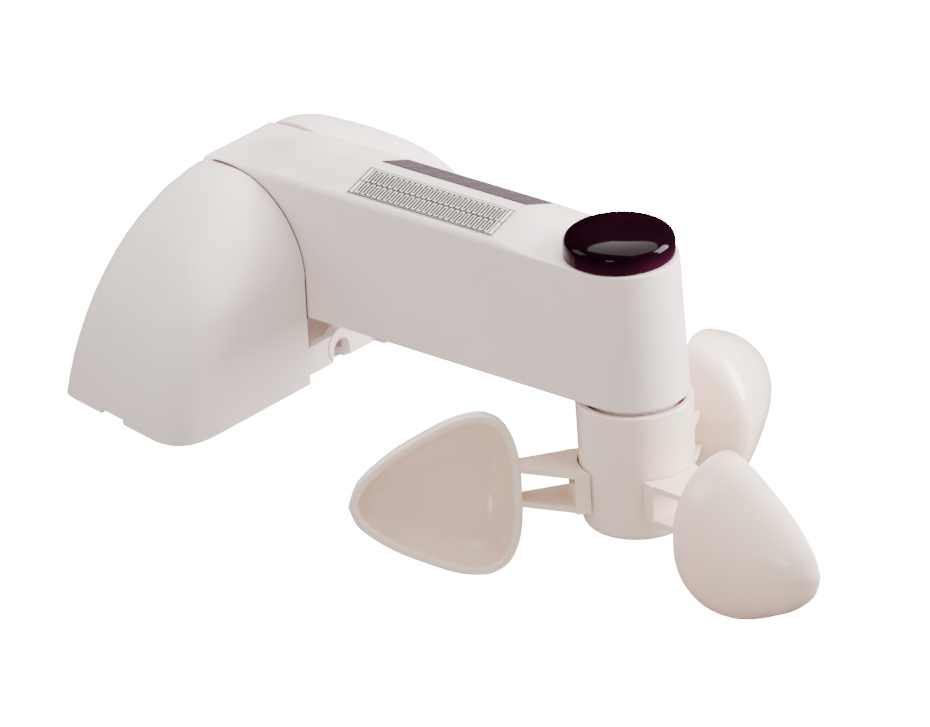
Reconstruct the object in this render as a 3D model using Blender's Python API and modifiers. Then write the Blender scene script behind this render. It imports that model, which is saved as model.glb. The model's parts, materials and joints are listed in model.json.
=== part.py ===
"""Wind, sun and rain sensor for an awning.

A domed wall base of two clip-on covers carries an arm that tilts between them. The arm holds the
electronics, a rain pad, a solar panel and a tinted lens over the setting controls. A rotor with
three half-egg cups spins in two ball bearings under the arm's tip.

Frame: the origin is on the mounting face, straight under the tilt pivot. +X runs along the arm
towards the rotor, +Z away from the mounting face, and +Y to the far cover.
"""

import math

import bmesh
import bpy
from mathutils import Matrix, Vector

MM = 0.001
GAP = 0.3 * MM
CUT_SCALE = 100.0

# Base
PIVOT_Z = 37.5 * MM
BASE_FRONT_X = 33.3 * MM
BASE_ROUND_R = 33.5 * MM
BASE_TOP_Z = PIVOT_Z + BASE_ROUND_R
BASE_BACK_X = -31.0 * MM
BASE_BACK_SLOPE = 0.28
COVER_REACH = 57.0 * MM
COVER_TAPER = 0.21
COVER_WALL = 2.2 * MM
SEAM_Y = 18.6 * MM
SEAM_WALL = 2.0 * MM
PLATE_T = 3.0 * MM
EAR_Y = 21.2 * MM
EAR_T = 3.0 * MM
BOLT_R = 3.0 * MM

# Arm
ARM_HALF_W = 18.0 * MM
ARM_BOTTOM_Z = 23.45 * MM
ARM_FLAT_Z = 70.2 * MM
ARM_RIDGE = 5.7 * MM
RIDGE_HALF_W = 2.7 * MM
ROOF_SLOPE = 0.335
ARM_WALL = 2.2 * MM
TIP_DRAFT = 2.0 / 47.0
ROOT_R = 33.2 * MM
ROOT_LOW_R = 24.0 * MM
CAVITY_START_X = 33.0 * MM

# Pads on the roof
PAD_LENGTH = 60.6 * MM
PAD_CENTRE_X = 81.0 * MM
PAD_WIDTH = 13.4 * MM
PAD_T = 1.2 * MM
PAD_PROUD = 0.2 * MM

# Lens and the controls under it
LENS_X = 151.0 * MM
LENS_R = 18.0 * MM
LENS_BASE_Z = 70.5 * MM
LENS_HEIGHT = 7.4 * MM
WELL_R = 14.9 * MM

# Rotor
ROTOR_X = 154.6 * MM
SHAFT_R = 2.0 * MM
BEARING_R = 6.0 * MM
HUB_R = 19.0 * MM
HUB_TOP_Z = 22.0 * MM
HUB_BOTTOM_Z = -22.5 * MM
HUB_WALL = 2.4 * MM
CUP_ANGLES = (226.5, 346.5, 106.5)
CUP_Z = -8.7 * MM
CUP_INNER = 37.2 * MM
CUP_MIDDLE = 46.5 * MM
CUP_FORWARD = 0.8 * MM
CUP_RIM = ((37.2, 0.0), (37.4, 9.6), (39.0, 18.3), (42.4, 24.8), (48.1, 28.1), (54.6, 28.0), (61.6, 26.0),
           (70.6, 21.7), (78.6, 17.3), (85.2, 12.4), (90.6, 6.9), (93.2, 0.0))
CUP_DEPTH = 21.5 * MM
CUP_WALL = 2.0 * MM
CUP_LIP = 2.8 * MM
STALK_TOP_Z = 0.0 * MM
STALK_BOTTOM_Z = -14.0 * MM
STALK_T = 2.0 * MM
STALK_ROOT_W = 20.0 * MM
STALK_TIP_W = 13.0 * MM


# ---------------------------------------------------------------- scene and materials

def clear_scene():
    for item in list(bpy.data.objects):
        bpy.data.objects.remove(item, do_unlink=True)


def make_material(name, colour, roughness, metallic=0.0, alpha=1.0):
    made = bpy.data.materials.new(name)
    made.use_nodes = True
    shader = made.node_tree.nodes["Principled BSDF"]
    shader.inputs["Base Color"].default_value = (*colour, 1.0)
    shader.inputs["Roughness"].default_value = roughness
    shader.inputs["Metallic"].default_value = metallic
    shader.inputs["Alpha"].default_value = alpha
    return made


clear_scene()
PARTS = bpy.data.collections.new("wind_sun_sensor")
bpy.context.scene.collection.children.link(PARTS)

SHELL = make_material("shell_plastic", (0.80, 0.74, 0.70), 0.38)
ROTOR_PLASTIC = make_material("rotor_plastic", (0.84, 0.76, 0.68), 0.35)
DARK_LENS = make_material("tinted_lens", (0.06, 0.008, 0.04), 0.06, alpha=0.9)
RAIN = make_material("rain_pad", (0.85, 0.80, 0.74), 0.3)
SOLAR = make_material("solar_glass", (0.07, 0.05, 0.06), 0.12)
BOARD = make_material("circuit_board", (0.03, 0.18, 0.08), 0.4)
CHIP = make_material("component_black", (0.02, 0.02, 0.022), 0.45)
STEEL = make_material("steel", (0.56, 0.56, 0.57), 0.28, 1.0)
BRASS = make_material("brass", (0.7, 0.52, 0.25), 0.3, 1.0)
RUBBER = make_material("seal_rubber", (0.03, 0.03, 0.03), 0.8)
CELL = make_material("cell_wrap", (0.05, 0.16, 0.42), 0.35)
DIAL = make_material("dial_plastic", (0.85, 0.82, 0.74), 0.45)
BUTTON = make_material("button_plastic", (0.7, 0.08, 0.06), 0.4)
LED = make_material("led_epoxy", (0.9, 0.9, 0.86), 0.1, alpha=0.6)


# ---------------------------------------------------------------- building helpers

def new_object(name, mesh, material):
    item = bpy.data.objects.new(name, mesh)
    PARTS.objects.link(item)
    mesh.materials.clear()
    mesh.materials.append(material)
    mesh.shade_smooth()
    mesh.set_sharp_from_angle(angle=math.radians(35))
    return item


def from_bmesh(name, shape, material):
    bmesh.ops.recalc_face_normals(shape, faces=shape.faces)
    mesh = bpy.data.meshes.new(name)
    shape.to_mesh(mesh)
    shape.free()
    return new_object(name, mesh, material)


def bake(item):
    """Replace the object's mesh by its evaluated one, so that later cuts start from real faces."""
    bpy.context.view_layer.update()
    graph = bpy.context.evaluated_depsgraph_get()
    old = item.data
    item.data = bpy.data.meshes.new_from_object(item.evaluated_get(graph))
    item.modifiers.clear()
    bpy.data.meshes.remove(old)
    return item


def combine(item, tool, operation):
    """Cut or join two meshes. They are enlarged for it, so that rounding errors stay small."""
    item.data.transform(Matrix.Scale(CUT_SCALE, 4))
    tool.data.transform(Matrix.Scale(CUT_SCALE, 4))
    join = item.modifiers.new("Boolean", "BOOLEAN")
    join.operation = operation
    join.object = tool
    bake(item)
    item.data.transform(Matrix.Scale(1.0 / CUT_SCALE, 4))
    bpy.data.objects.remove(tool, do_unlink=True)
    item.data.shade_smooth()
    item.data.set_sharp_from_angle(angle=math.radians(35))
    return item


def cut(item, *tools):
    for tool in tools:
        combine(item, tool, "DIFFERENCE")
    return item


def add(item, *tools):
    for tool in tools:
        combine(item, tool, "UNION")
    return item


def box(name, low, high, material=SHELL, turn=None):
    shape = bmesh.new()
    bmesh.ops.create_cube(shape, size=1.0)
    size = [b - a for a, b in zip(low, high)]
    middle = Vector([(a + b) / 2 for a, b in zip(low, high)])
    place = Matrix.Translation(middle)
    if turn is not None:
        place = place @ turn
    bmesh.ops.transform(shape, matrix=place @ Matrix.Diagonal((*size, 1.0)), verts=shape.verts)
    return from_bmesh(name, shape, material)


AXES = {"X": Matrix.Rotation(math.pi / 2, 4, "Y"), "Y": Matrix.Rotation(math.pi / 2, 4, "X"),
        "Z": Matrix.Identity(4)}


def cylinder(name, centre, radius, length, material=SHELL, axis="Z", sides=24, top_radius=None):
    shape = bmesh.new()
    bmesh.ops.create_cone(shape, cap_ends=True, segments=sides, radius1=radius,
                          radius2=radius if top_radius is None else top_radius, depth=length)
    place = Matrix.Translation(Vector(centre)) @ AXES[axis]
    bmesh.ops.transform(shape, matrix=place, verts=shape.verts)
    return from_bmesh(name, shape, material)


def turned(name, profile, centre, material, axis="Z", sides=32):
    """Spin a profile of (radius, height) points about an axis through centre."""
    mesh = bpy.data.meshes.new(name)
    points = [(radius, 0.0, height) for radius, height in profile]
    on_axis = profile[0][0] == 0.0
    count = len(points)
    edges = [(i, i + 1) for i in range(count - 1)]
    if not on_axis:
        edges.append((count - 1, 0))
    mesh.from_pydata(points, edges, [])
    item = new_object(name, mesh, material)
    spin = item.modifiers.new("Screw", "SCREW")
    spin.steps = sides
    spin.render_steps = sides
    spin.use_merge_vertices = True
    spin.merge_threshold = 0.00001
    spin.use_smooth_shade = True
    bake(item)
    shape = bmesh.new()
    shape.from_mesh(item.data)
    bmesh.ops.remove_doubles(shape, verts=shape.verts, dist=0.000002)
    bmesh.ops.recalc_face_normals(shape, faces=shape.faces)
    place = Matrix.Translation(Vector(centre)) @ AXES[axis]
    bmesh.ops.transform(shape, matrix=place, verts=shape.verts)
    shape.to_mesh(item.data)
    shape.free()
    item.data.shade_smooth()
    item.data.set_sharp_from_angle(angle=math.radians(35))
    return item


def ring(name, centre, inner, outer, length, material, axis="Z", sides=32):
    half = length / 2
    profile = [(inner, half), (outer, half), (outer, -half), (inner, -half)]
    return turned(name, profile, centre, material, axis, sides)


def extruded(name, outline, start, end, plane, material=SHELL):
    """A flat outline, thickened between start and end. The plane is XY or XZ."""
    shape = bmesh.new()
    if plane == "XY":
        low = [shape.verts.new((a, b, start)) for a, b in outline]
        high = [shape.verts.new((a, b, end)) for a, b in outline]
    else:
        low = [shape.verts.new((a, start, b)) for a, b in outline]
        high = [shape.verts.new((a, end, b)) for a, b in outline]
    skin(shape, [low, high])
    shape.faces.new(low)
    shape.faces.new(high)
    return from_bmesh(name, shape, material)


def skin(shape, rings):
    """Join consecutive closed rings of vertices by four-sided faces."""
    for first, second in zip(rings, rings[1:]):
        count = len(first)
        for i in range(count):
            j = (i + 1) % count
            shape.faces.new((first[i], first[j], second[j], second[i]))


def ladder(shape, loop):
    """Close a ring whose first half mirrors its second half with four-sided faces."""
    count = len(loop)
    for i in range(count // 2 - 1):
        shape.faces.new((loop[i], loop[i + 1], loop[count - 2 - i], loop[count - 1 - i]))


def arc(centre, radius, start, end, steps):
    points = []
    for i in range(steps + 1):
        angle = math.radians(start + (end - start) * i / steps)
        points.append((centre[0] + radius * math.cos(angle), centre[1] + radius * math.sin(angle)))
    return points


def ramp(value, start, end):
    t = min(1.0, max(0.0, (value - start) / (end - start)))
    return t * t * (3.0 - 2.0 * t)


# ---------------------------------------------------------------- domed covers of the base

def soft_max(a, b, width):
    overlap = max(width - abs(a - b), 0.0) / width
    return max(a, b) + overlap * overlap * width / 4


def cover_field(x, y, z):
    """Below zero inside the cover. y is the distance out from the seam plane."""
    if z > PIVOT_Z:
        front = math.hypot(max(x, 0.0), z - PIVOT_Z) - BASE_ROUND_R
    else:
        front = x - BASE_FRONT_X
    reach = COVER_REACH + COVER_TAPER * x
    dome = (math.hypot(y / reach, z / BASE_TOP_Z) - 1.0) * COVER_REACH
    back = (BASE_BACK_X + BASE_BACK_SLOPE * z - x) / math.hypot(1.0, BASE_BACK_SLOPE)
    corner = (2.0 + 14.0 * ramp(y, 0.0, 35.0 * MM)) * MM
    return soft_max(soft_max(front, dome, corner), back, 7.0 * MM)


def cover_radius(centre_y, direction, wall):
    low, high = 0.0, 0.12
    for _ in range(40):
        middle = (low + high) / 2
        x, y, z = (middle * part for part in direction)
        if cover_field(x, y + centre_y, z) + wall < 0.0:
            low = middle
        else:
            high = middle
    return low


def cover_body(name, centre_y, wall, rows, columns, drop):
    """A quarter-egg solid, built of arches around the line that leads out from the pivot."""
    shape = bmesh.new()
    arches = []
    for row in range(rows):
        tilt = math.pi / 2 * (1.0 - row / rows)
        arch = []
        for column in range(columns + 1):
            turn = math.pi * column / columns
            direction = (math.cos(turn) * math.sin(tilt), math.cos(tilt), math.sin(turn) * math.sin(tilt))
            reach = cover_radius(centre_y, direction, wall)
            arch.append([part * reach for part in direction])
        arch[0][2] = 0.0
        arch[-1][2] = 0.0
        if drop:
            arch = [[arch[0][0], arch[0][1], -drop]] + arch + [[arch[-1][0], arch[-1][1], -drop]]
        arches.append([shape.verts.new((x, -(SEAM_Y + centre_y + y), z)) for x, y, z in arch])
    for first, second in zip(arches, arches[1:]):
        for i in range(len(first) - 1):
            shape.faces.new((first[i], first[i + 1], second[i + 1], second[i]))
    end_y = -(SEAM_Y + centre_y + cover_radius(centre_y, (0.0, 1.0, 0.0), wall))
    pole = shape.verts.new((0.0, end_y, 0.0))
    last = arches[-1]
    if drop:
        low_pole = shape.verts.new((0.0, end_y, -drop))
        for first, second in zip(last[1:-1], last[2:-1]):
            shape.faces.new((first, second, pole))
        shape.faces.new((last[0], last[1], pole, low_pole))
        shape.faces.new((last[-2], last[-1], low_pole, pole))
    else:
        low_pole = pole
        for first, second in zip(last, last[1:]):
            shape.faces.new((first, second, pole))
    foot = [arch[0] for arch in arches] + [low_pole] + [arch[-1] for arch in reversed(arches)]
    floor_middle = shape.verts.new((0.0, -(SEAM_Y + centre_y + 20.0 * MM), -drop))
    seam_middle = shape.verts.new((0.0, -(SEAM_Y + centre_y), 20.0 * MM))
    for i, vertex in enumerate(foot):
        shape.faces.new((vertex, foot[i - 1], floor_middle))
    for i, vertex in enumerate(arches[0]):
        shape.faces.new((vertex, arches[0][i - 1], seam_middle))
    bmesh.ops.triangulate(shape, faces=shape.faces)
    return from_bmesh(name, shape, SHELL)


CATCH_XS = (-13.0 * MM, 13.0 * MM)


def wall_inside_y(x):
    """Where the inside of a cover's outer wall is, near the foot."""
    return SEAM_Y + COVER_REACH + COVER_TAPER * x - COVER_WALL


def make_cover(name, side):
    """side is -1 for the near cover and +1 for the far one."""
    cover = cover_body(name, 0.0, 0.0, 14, 28, 0.0)
    cavity = cover_body("cavity", SEAM_WALL, COVER_WALL, 9, 20, 1.0 * MM)
    seam_inside = -(SEAM_Y + SEAM_WALL + 0.5 * MM)
    seam_outside = -(SEAM_Y - 1.0 * MM)
    middle_y = (seam_inside + seam_outside) / 2
    length = seam_outside - seam_inside
    slot = box("slot", (-9.0 * MM, seam_inside, -1.0 * MM), (9.0 * MM, seam_outside, PIVOT_Z))
    eye = cylinder("eye", (0.0, middle_y, PIVOT_Z), 9.0 * MM, length, axis="Y")
    plate_slot = box("plate_slot", (-28.4 * MM, seam_inside, -1.0 * MM),
                     (31.1 * MM, seam_outside, PLATE_T + 0.4 * MM))
    notch = box("notch", (-8.8 * MM, -0.09, -1.7 * MM), (2.6 * MM, -0.069, 1.6 * MM))
    cut(cover, notch, cavity, slot, eye, plate_slot)
    for x in CATCH_XS:
        inner_y = wall_inside_y(x)
        catch = box("catch", (x - 5.0 * MM, -(inner_y + 2.4 * MM), 5.0 * MM),
                    (x + 5.0 * MM, -(inner_y - 2.6 * MM), 6.4 * MM))
        keep = cover_body("keep", 0.0, 0.6 * MM, 14, 28, 0.0)
        combine(catch, keep, "INTERSECT")
        add(cover, catch)
    if side > 0:
        bmesh_mirror(cover)
    return cover


def bmesh_mirror(item):
    shape = bmesh.new()
    shape.from_mesh(item.data)
    bmesh.ops.scale(shape, vec=(1.0, -1.0, 1.0), verts=shape.verts)
    bmesh.ops.recalc_face_normals(shape, faces=shape.faces)
    shape.to_mesh(item.data)
    shape.free()
    item.data.shade_smooth()
    item.data.set_sharp_from_angle(angle=math.radians(35))


# ---------------------------------------------------------------- wall plate and pivot

def make_wall_plate():
    outline = [(-27.0, 16.0), (-27.0, 56.0), (-24.0, 64.0), (-16.0, 67.8), (5.0, 71.3), (20.0, 74.3),
               (26.5, 68.0), (30.4, 52.0), (30.6, 40.0), (30.6, 16.0)]
    half = [(x * MM, y * MM) for x, y in outline]
    outline = half + [(x, -y) for x, y in reversed(half)]
    plate = extruded("wall_plate", outline, 0.0, PLATE_T, "XY")
    relief = box("relief", (28.3 * MM, -SEAM_Y, -1.0 * MM), (40.0 * MM, SEAM_Y, 1.2 * MM))
    cut(plate, relief)
    lip_outline = [(28.3 * MM, 1.2 * MM), (30.6 * MM, 1.2 * MM), (30.6 * MM, 11.0 * MM),
                   (28.3 * MM, 11.0 * MM)]
    lip = extruded("lip", lip_outline, -(SEAM_Y - GAP), SEAM_Y - GAP, "XZ")
    collar = cylinder("collar", (29.2 * MM, 0.0, 6.5 * MM), 6.0 * MM, 3.6 * MM, axis="X")
    add(plate, lip, collar)
    guide = cylinder("guide", (29.5 * MM, 0.0, 4.8 * MM), 4.0 * MM, 6.0 * MM, axis="X")
    guide_slot = box("guide_slot", (26.5 * MM, -3.97 * MM, -1.0 * MM), (32.5 * MM, 3.97 * MM, 5.2 * MM))
    cut(plate, guide, guide_slot)
    for side in (-1, 1):
        ear_outline = [(20.0 * MM, 1.0 * MM)] + arc((0.0, PIVOT_Z), 11.0 * MM, 10, 170, 12)
        ear_outline += [(-20.0 * MM, 1.0 * MM)]
        start = side * EAR_Y
        end = side * (EAR_Y + EAR_T)
        ear = extruded("ear", ear_outline, min(start, end), max(start, end), "XZ")
        add(plate, ear)
        hole = cylinder("hole", (0.0, side * (EAR_Y + EAR_T / 2), PIVOT_Z), BOLT_R + GAP, 8.0 * MM,
                        axis="Y")
        screw_slot = extruded("screw_slot", slot_outline(0.0, side * 46.0 * MM, 2.6 * MM, 9.0 * MM),
                              -1.0 * MM, 5.0 * MM, "XY")
        cut(plate, hole, screw_slot)
        for x in CATCH_XS:
            inner_y = wall_inside_y(x)
            low_y, high_y = sorted((side * (inner_y - 5.2 * MM), side * (inner_y - 3.2 * MM)))
            post = box("post", (x - 4.0 * MM, low_y, 1.0 * MM), (x + 4.0 * MM, high_y, 8.4 * MM))
            low_y, high_y = sorted((side * (inner_y - 4.5 * MM), side * (inner_y - 1.5 * MM)))
            hook = box("hook", (x - 3.6 * MM, low_y, 6.8 * MM), (x + 3.6 * MM, high_y, 8.1 * MM))
            add(plate, post, hook)
    return plate


def slot_outline(x, y, radius, length):
    """A slot with round ends, running along Y."""
    half = length / 2 - radius
    return arc((x, y + half), radius, 0, 180, 8) + arc((x, y - half), radius, 180, 360, 8)


def make_nut(name, centre, bore, corner_radius, thickness, axis):
    nut = cylinder(name, centre, corner_radius, thickness, STEEL, axis, 6)
    return cut(nut, cylinder("bore", centre, bore, thickness + 4.0 * MM, STEEL, axis, 20))


def make_pivot_parts():
    shank = cylinder("pivot_bolt", (0.0, -0.5 * MM, PIVOT_Z), BOLT_R, 57.0 * MM, STEEL, "Y", 20)
    head = cylinder("head", (0.0, -29.0 * MM, PIVOT_Z), 5.7 * MM, 4.0 * MM, STEEL, "Y", 6)
    add(shank, head)
    nut = make_nut("pivot_nut", (0.0, 26.1 * MM, PIVOT_Z), BOLT_R + 0.05 * MM, 5.7 * MM, 3.0 * MM, "Y")
    return shank, nut


def make_washers(name, side):
    """The friction washer that sits in a cover's slot, between the arm's root and the ear."""
    middle = side * (ARM_HALF_W + EAR_Y) / 2
    thickness = EAR_Y - ARM_HALF_W - 2 * GAP
    return ring(name, (0.0, middle, PIVOT_Z), BOLT_R + GAP, 8.0 * MM, thickness, RUBBER, "Y", 28)


# ---------------------------------------------------------------- arm

def tip_centre(z):
    """The tip leans back a little towards the top, as its mould draft asks."""
    return ROTOR_X - (z - ARM_BOTTOM_Z) * TIP_DRAFT


def crown(x):
    """How much of the roof ridge is there: none over the root's back and none around the lens."""
    return ramp(x, -6.0 * MM, 24.0 * MM) * (1.0 - ramp(x, 112.0 * MM, 133.0 * MM))


def roof_z(x, y):
    fall = ROOF_SLOPE * max(abs(y) - RIDGE_HALF_W, 0.0)
    return ARM_FLAT_Z + crown(x) * (ARM_RIDGE - fall)


def plan_outline(start_x, end_x, half_width, tip_steps=17):
    """Half of it runs out along the near side and round to the tip, and half comes back."""
    stops = [start_x]
    stops += [x * MM for x in (-2, 3, 8, 13, 18, 23, 30, 40, 60, 100, 112, 116, 120, 124, 128, 133, 141)]
    near = [(x, -half_width) for x in stops if start_x <= x < end_x - 4 * MM]
    round_end = []
    for i in range(tip_steps + 1):
        angle = -math.pi / 2 + math.pi * i / tip_steps
        round_end.append((end_x + half_width * math.cos(angle), half_width * math.sin(angle)))
    far = [(x, -y) for x, y in reversed(near)]
    return near + round_end + far


def beam(name, start_x, wall, bottom_z, rounding):
    """The arm without its root: upright sides, a round tip and the ridged roof."""
    shape = bmesh.new()
    half = ARM_HALF_W - wall
    side_top = roof_z(60 * MM, ARM_HALF_W) - wall
    levels = [(bottom_z, rounding * 0.3), (bottom_z + rounding * 0.3, 0.0)]
    loops = []
    for z, inset in levels:
        outline = plan_outline(start_x, tip_centre(z), half - inset)
        loops.append([(x, y, z) for x, y in outline])
    for turn in (0.0, 0.33, 0.66, 1.0):
        angle = turn * math.pi / 2
        loop = []
        for x, y in plan_outline(start_x, tip_centre(side_top), half):
            edge = rounding * (0.2 + 0.8 * (1.0 - ramp(x, 110 * MM, 131 * MM)))
            inset = edge * (1.0 - math.cos(angle))
            centre_x = min(x, tip_centre(side_top))
            away = Vector((x - centre_x, y))
            away = away * (half - inset) / half
            top = roof_z(x, half - edge) - wall
            loop.append((centre_x + away.x, away.y, top - edge * (1.0 - math.sin(angle))))
        loops.append(loop)
    for part in (0.72, 0.45, RIDGE_HALF_W / half):
        loop = []
        for x, y in plan_outline(start_x, tip_centre(side_top), half):
            centre_x = min(x, tip_centre(side_top))
            away_x = (x - centre_x) * part
            if x == start_x:
                away_x = (1.0 - part) * 2.0 * MM
            loop.append((centre_x + away_x, y * part, roof_z(x, y * part) - wall))
        loops.append(loop)
    rings = [[shape.verts.new(point) for point in loop] for loop in loops]
    skin(shape, rings)
    ladder(shape, rings[0])
    ladder(shape, rings[-1])
    bmesh.ops.triangulate(shape, faces=shape.faces)
    return from_bmesh(name, shape, SHELL)


def root_outline(wall):
    """Side view of the arm's root, around the pivot."""
    top_r = ROOT_R - wall
    low_r = ROOT_LOW_R - wall
    back_lean = BASE_BACK_SLOPE
    top_back = arc((0.0, PIVOT_Z), top_r, 60, 104, 12)
    corner = top_back[-1]
    down = corner[1] - (PIVOT_Z - 14.0 * MM)
    foot = (corner[0] - back_lean * down, PIVOT_Z - 14.0 * MM)
    start = math.degrees(math.atan2(foot[1] - PIVOT_Z, foot[0]))
    low = arc((0.0, PIVOT_Z), low_r, start + 360 + 14, 322, 10)
    return top_back + [(corner[0] - 1.2 * MM, corner[1] - 2.0 * MM), foot] + low


def make_arm_shell():
    shell = beam("arm_shell", -9.0 * MM, 0.0, ARM_BOTTOM_Z, 2.6 * MM)
    root = extruded("root", root_outline(0.9 * MM), -ARM_HALF_W + 0.2 * MM, ARM_HALF_W - 0.2 * MM, "XZ")
    add(shell, root)
    hollow = beam("hollow", CAVITY_START_X, ARM_WALL, ARM_BOTTOM_Z - 2 * MM, 1.0 * MM)
    root_hollow = extruded("root_hollow", root_outline(3.0 * MM), -15.4 * MM, 15.4 * MM, "XZ")
    passage = box("passage", (10.0 * MM, -14.6 * MM, 28.0 * MM), (36.0 * MM, 14.6 * MM, 64.0 * MM))
    cut(shell, hollow, root_hollow, passage)
    hub = cylinder("hub", (0.0, 0.0, PIVOT_Z), 8.0 * MM, 2 * ARM_HALF_W - 1.0 * MM, axis="Y", sides=28)
    add(shell, hub)
    for x in (37.0 * MM, 131.0 * MM):
        for side in (-1, 1):
            low_y, high_y = sorted((side * 10.8 * MM, side * 16.4 * MM))
            boss = box("boss", (x - 3.2 * MM, low_y, 27.6 * MM), (x + 3.2 * MM, high_y, 41.0 * MM))
            add(shell, boss)
            pilot = cylinder("pilot", (x, side * 13.2 * MM, 33.5 * MM), 1.35 * MM, 13.0 * MM, sides=12)
            cut(shell, pilot)
    bore = cylinder("bore", (0.0, 0.0, PIVOT_Z), BOLT_R + 0.2 * MM, 50.0 * MM, axis="Y", sides=20)
    cut(shell, bore)
    for side in (-1, 1):
        cut(shell, pad_block("pocket", side, PAD_LENGTH + 0.6 * MM, PAD_WIDTH + 0.6 * MM,
                             -(PAD_T - PAD_PROUD) - GAP, 3.0 * MM))
        feed = cylinder("feed", (60.0 * MM, side * 8.0 * MM, 72.0 * MM), 1.2 * MM, 10.0 * MM, sides=10)
        cut(shell, feed)
    mouth = cylinder("mouth", (LENS_X, 0.0, 69.0 * MM), 16.2 * MM, 6.0 * MM, sides=40)
    well = turned("well", [(WELL_R, 69.3 * MM), (17.0 * MM, 69.3 * MM), (17.0 * MM, 60.9 * MM),
                           (12.5 * MM, 60.9 * MM), (12.5 * MM, 62.2 * MM), (WELL_R, 62.2 * MM)],
                  (LENS_X, 0.0, 0.0), SHELL, sides=40)
    cut(shell, mouth)
    add(shell, well)
    return shell


def pad_block(name, side, length, width, low, high, material=SHELL):
    """A flat block lying on one slope of the roof, from low to high above the slope."""
    angle = math.atan(ROOF_SLOPE)
    middle_y = 9.05 * MM
    slope_z = ARM_FLAT_Z + ARM_RIDGE - ROOF_SLOPE * (middle_y - RIDGE_HALF_W)
    lift = (low + high) / 2
    centre = Vector((PAD_CENTRE_X, side * (middle_y + lift * math.sin(angle)), slope_z + lift * math.cos(angle)))
    turn = Matrix.Rotation(-side * angle, 4, "X")
    half = Vector((length / 2, width / 2, (high - low) / 2))
    return box(name, centre - half, centre + half, material, turn)


def make_arm_floor():
    outline = plan_outline(CAVITY_START_X + GAP, ROTOR_X, ARM_HALF_W - ARM_WALL - GAP)
    low = ARM_BOTTOM_Z + 0.2 * MM
    floor = extruded("arm_floor", outline, low, low + 2.2 * MM, "XY")
    seat_r = BEARING_R + 0.02 * MM
    tube = turned("tube", [(seat_r, 41.0 * MM), (9.0 * MM, 41.0 * MM), (9.0 * MM, 27.0 * MM),
                           (14.0 * MM, 25.2 * MM), (14.0 * MM, 18.0 * MM), (12.6 * MM, 18.0 * MM),
                           (12.6 * MM, 22.5 * MM), (9.0 * MM, 22.5 * MM), (9.0 * MM, 13.0 * MM),
                           (seat_r, 13.0 * MM), (seat_r, 17.4 * MM), (3.6 * MM, 17.4 * MM),
                           (3.6 * MM, 37.4 * MM), (seat_r, 37.4 * MM)], (ROTOR_X, 0.0, 0.0), SHELL, sides=28)
    opening = cylinder("opening", (ROTOR_X, 0.0, 25.0 * MM), 7.5 * MM, 8.0 * MM, sides=20)
    cut(floor, opening)
    add(floor, tube)
    for x in (37.0 * MM, 131.0 * MM):
        for side in (-1, 1):
            head = cylinder("head", (x, side * 13.2 * MM, low), 2.35 * MM, 2.6 * MM, sides=16)
            shank = cylinder("shank", (x, side * 13.2 * MM, low + 1 * MM), 1.7 * MM, 4.0 * MM, sides=12)
            cut(floor, shank, head)
    for x, y in BOARD_POSTS:
        post = cylinder("post", (x, y, 35.6 * MM), 2.6 * MM, 21.2 * MM, sides=16)
        pilot = cylinder("pilot", (x, y, 41.0 * MM), 0.9 * MM, 14.0 * MM, sides=8)
        add(floor, post)
        cut(floor, pilot)
    for x in (56.0 * MM, 108.0 * MM):
        rib = box("rib", (x - 1.2 * MM, -12.0 * MM, low + 1.5 * MM), (x + 1.2 * MM, 12.0 * MM, 34.0 * MM))
        bed = cylinder("bed", (x, 0.0, 36.2 * MM), 9.6 * MM, 6.0 * MM, axis="X", sides=28)
        cut(rib, bed)
        add(floor, rib)
    return floor


FLOOR_SCREWS = ((37.0 * MM, -13.2 * MM), (37.0 * MM, 13.2 * MM), (131.0 * MM, -13.2 * MM),
                (131.0 * MM, 13.2 * MM))
BOARD_POSTS = ((46.0 * MM, -11.0 * MM), (46.0 * MM, 11.0 * MM), (122.0 * MM, -11.0 * MM),
               (122.0 * MM, 11.0 * MM))
MAIN_BOARD_Z = 46.5 * MM
BOARD_T = 1.6 * MM
SENSOR_BOARD_Z = 62.5 * MM


def make_screw(name, x, y, head_low, head_r, head_t, shank_r, shank_from, shank_to):
    screw = cylinder(name, (x, y, head_low + head_t / 2), head_r, head_t, STEEL, sides=12)
    middle = (shank_from + shank_to) / 2
    add(screw, cylinder("shank", (x, y, middle), shank_r, shank_to - shank_from, STEEL, sides=8))
    return screw


def make_floor_screws():
    low = ARM_BOTTOM_Z + 0.4 * MM
    for number, (x, y) in enumerate(FLOOR_SCREWS, start=1):
        make_screw(f"floor_screw_{number}", x, y, low, 2.05 * MM, 0.9 * MM, 1.05 * MM, low + 0.5 * MM,
                   low + 12.5 * MM)


def make_board_screws():
    top = MAIN_BOARD_Z + BOARD_T + 0.2 * MM
    for number, (x, y) in enumerate(BOARD_POSTS, start=1):
        make_screw(f"board_screw_{number}", x, y, top, 1.9 * MM, 1.2 * MM, 0.65 * MM, top - 8.1 * MM,
                   top + 0.3 * MM)


def make_pads():
    low = -(PAD_T - PAD_PROUD)
    rain = pad_block("rain_pad", -1, PAD_LENGTH, PAD_WIDTH, low, PAD_PROUD, RAIN)
    solar = pad_block("solar_panel", 1, PAD_LENGTH, PAD_WIDTH, low, PAD_PROUD, SOLAR)
    return rain, solar


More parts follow.
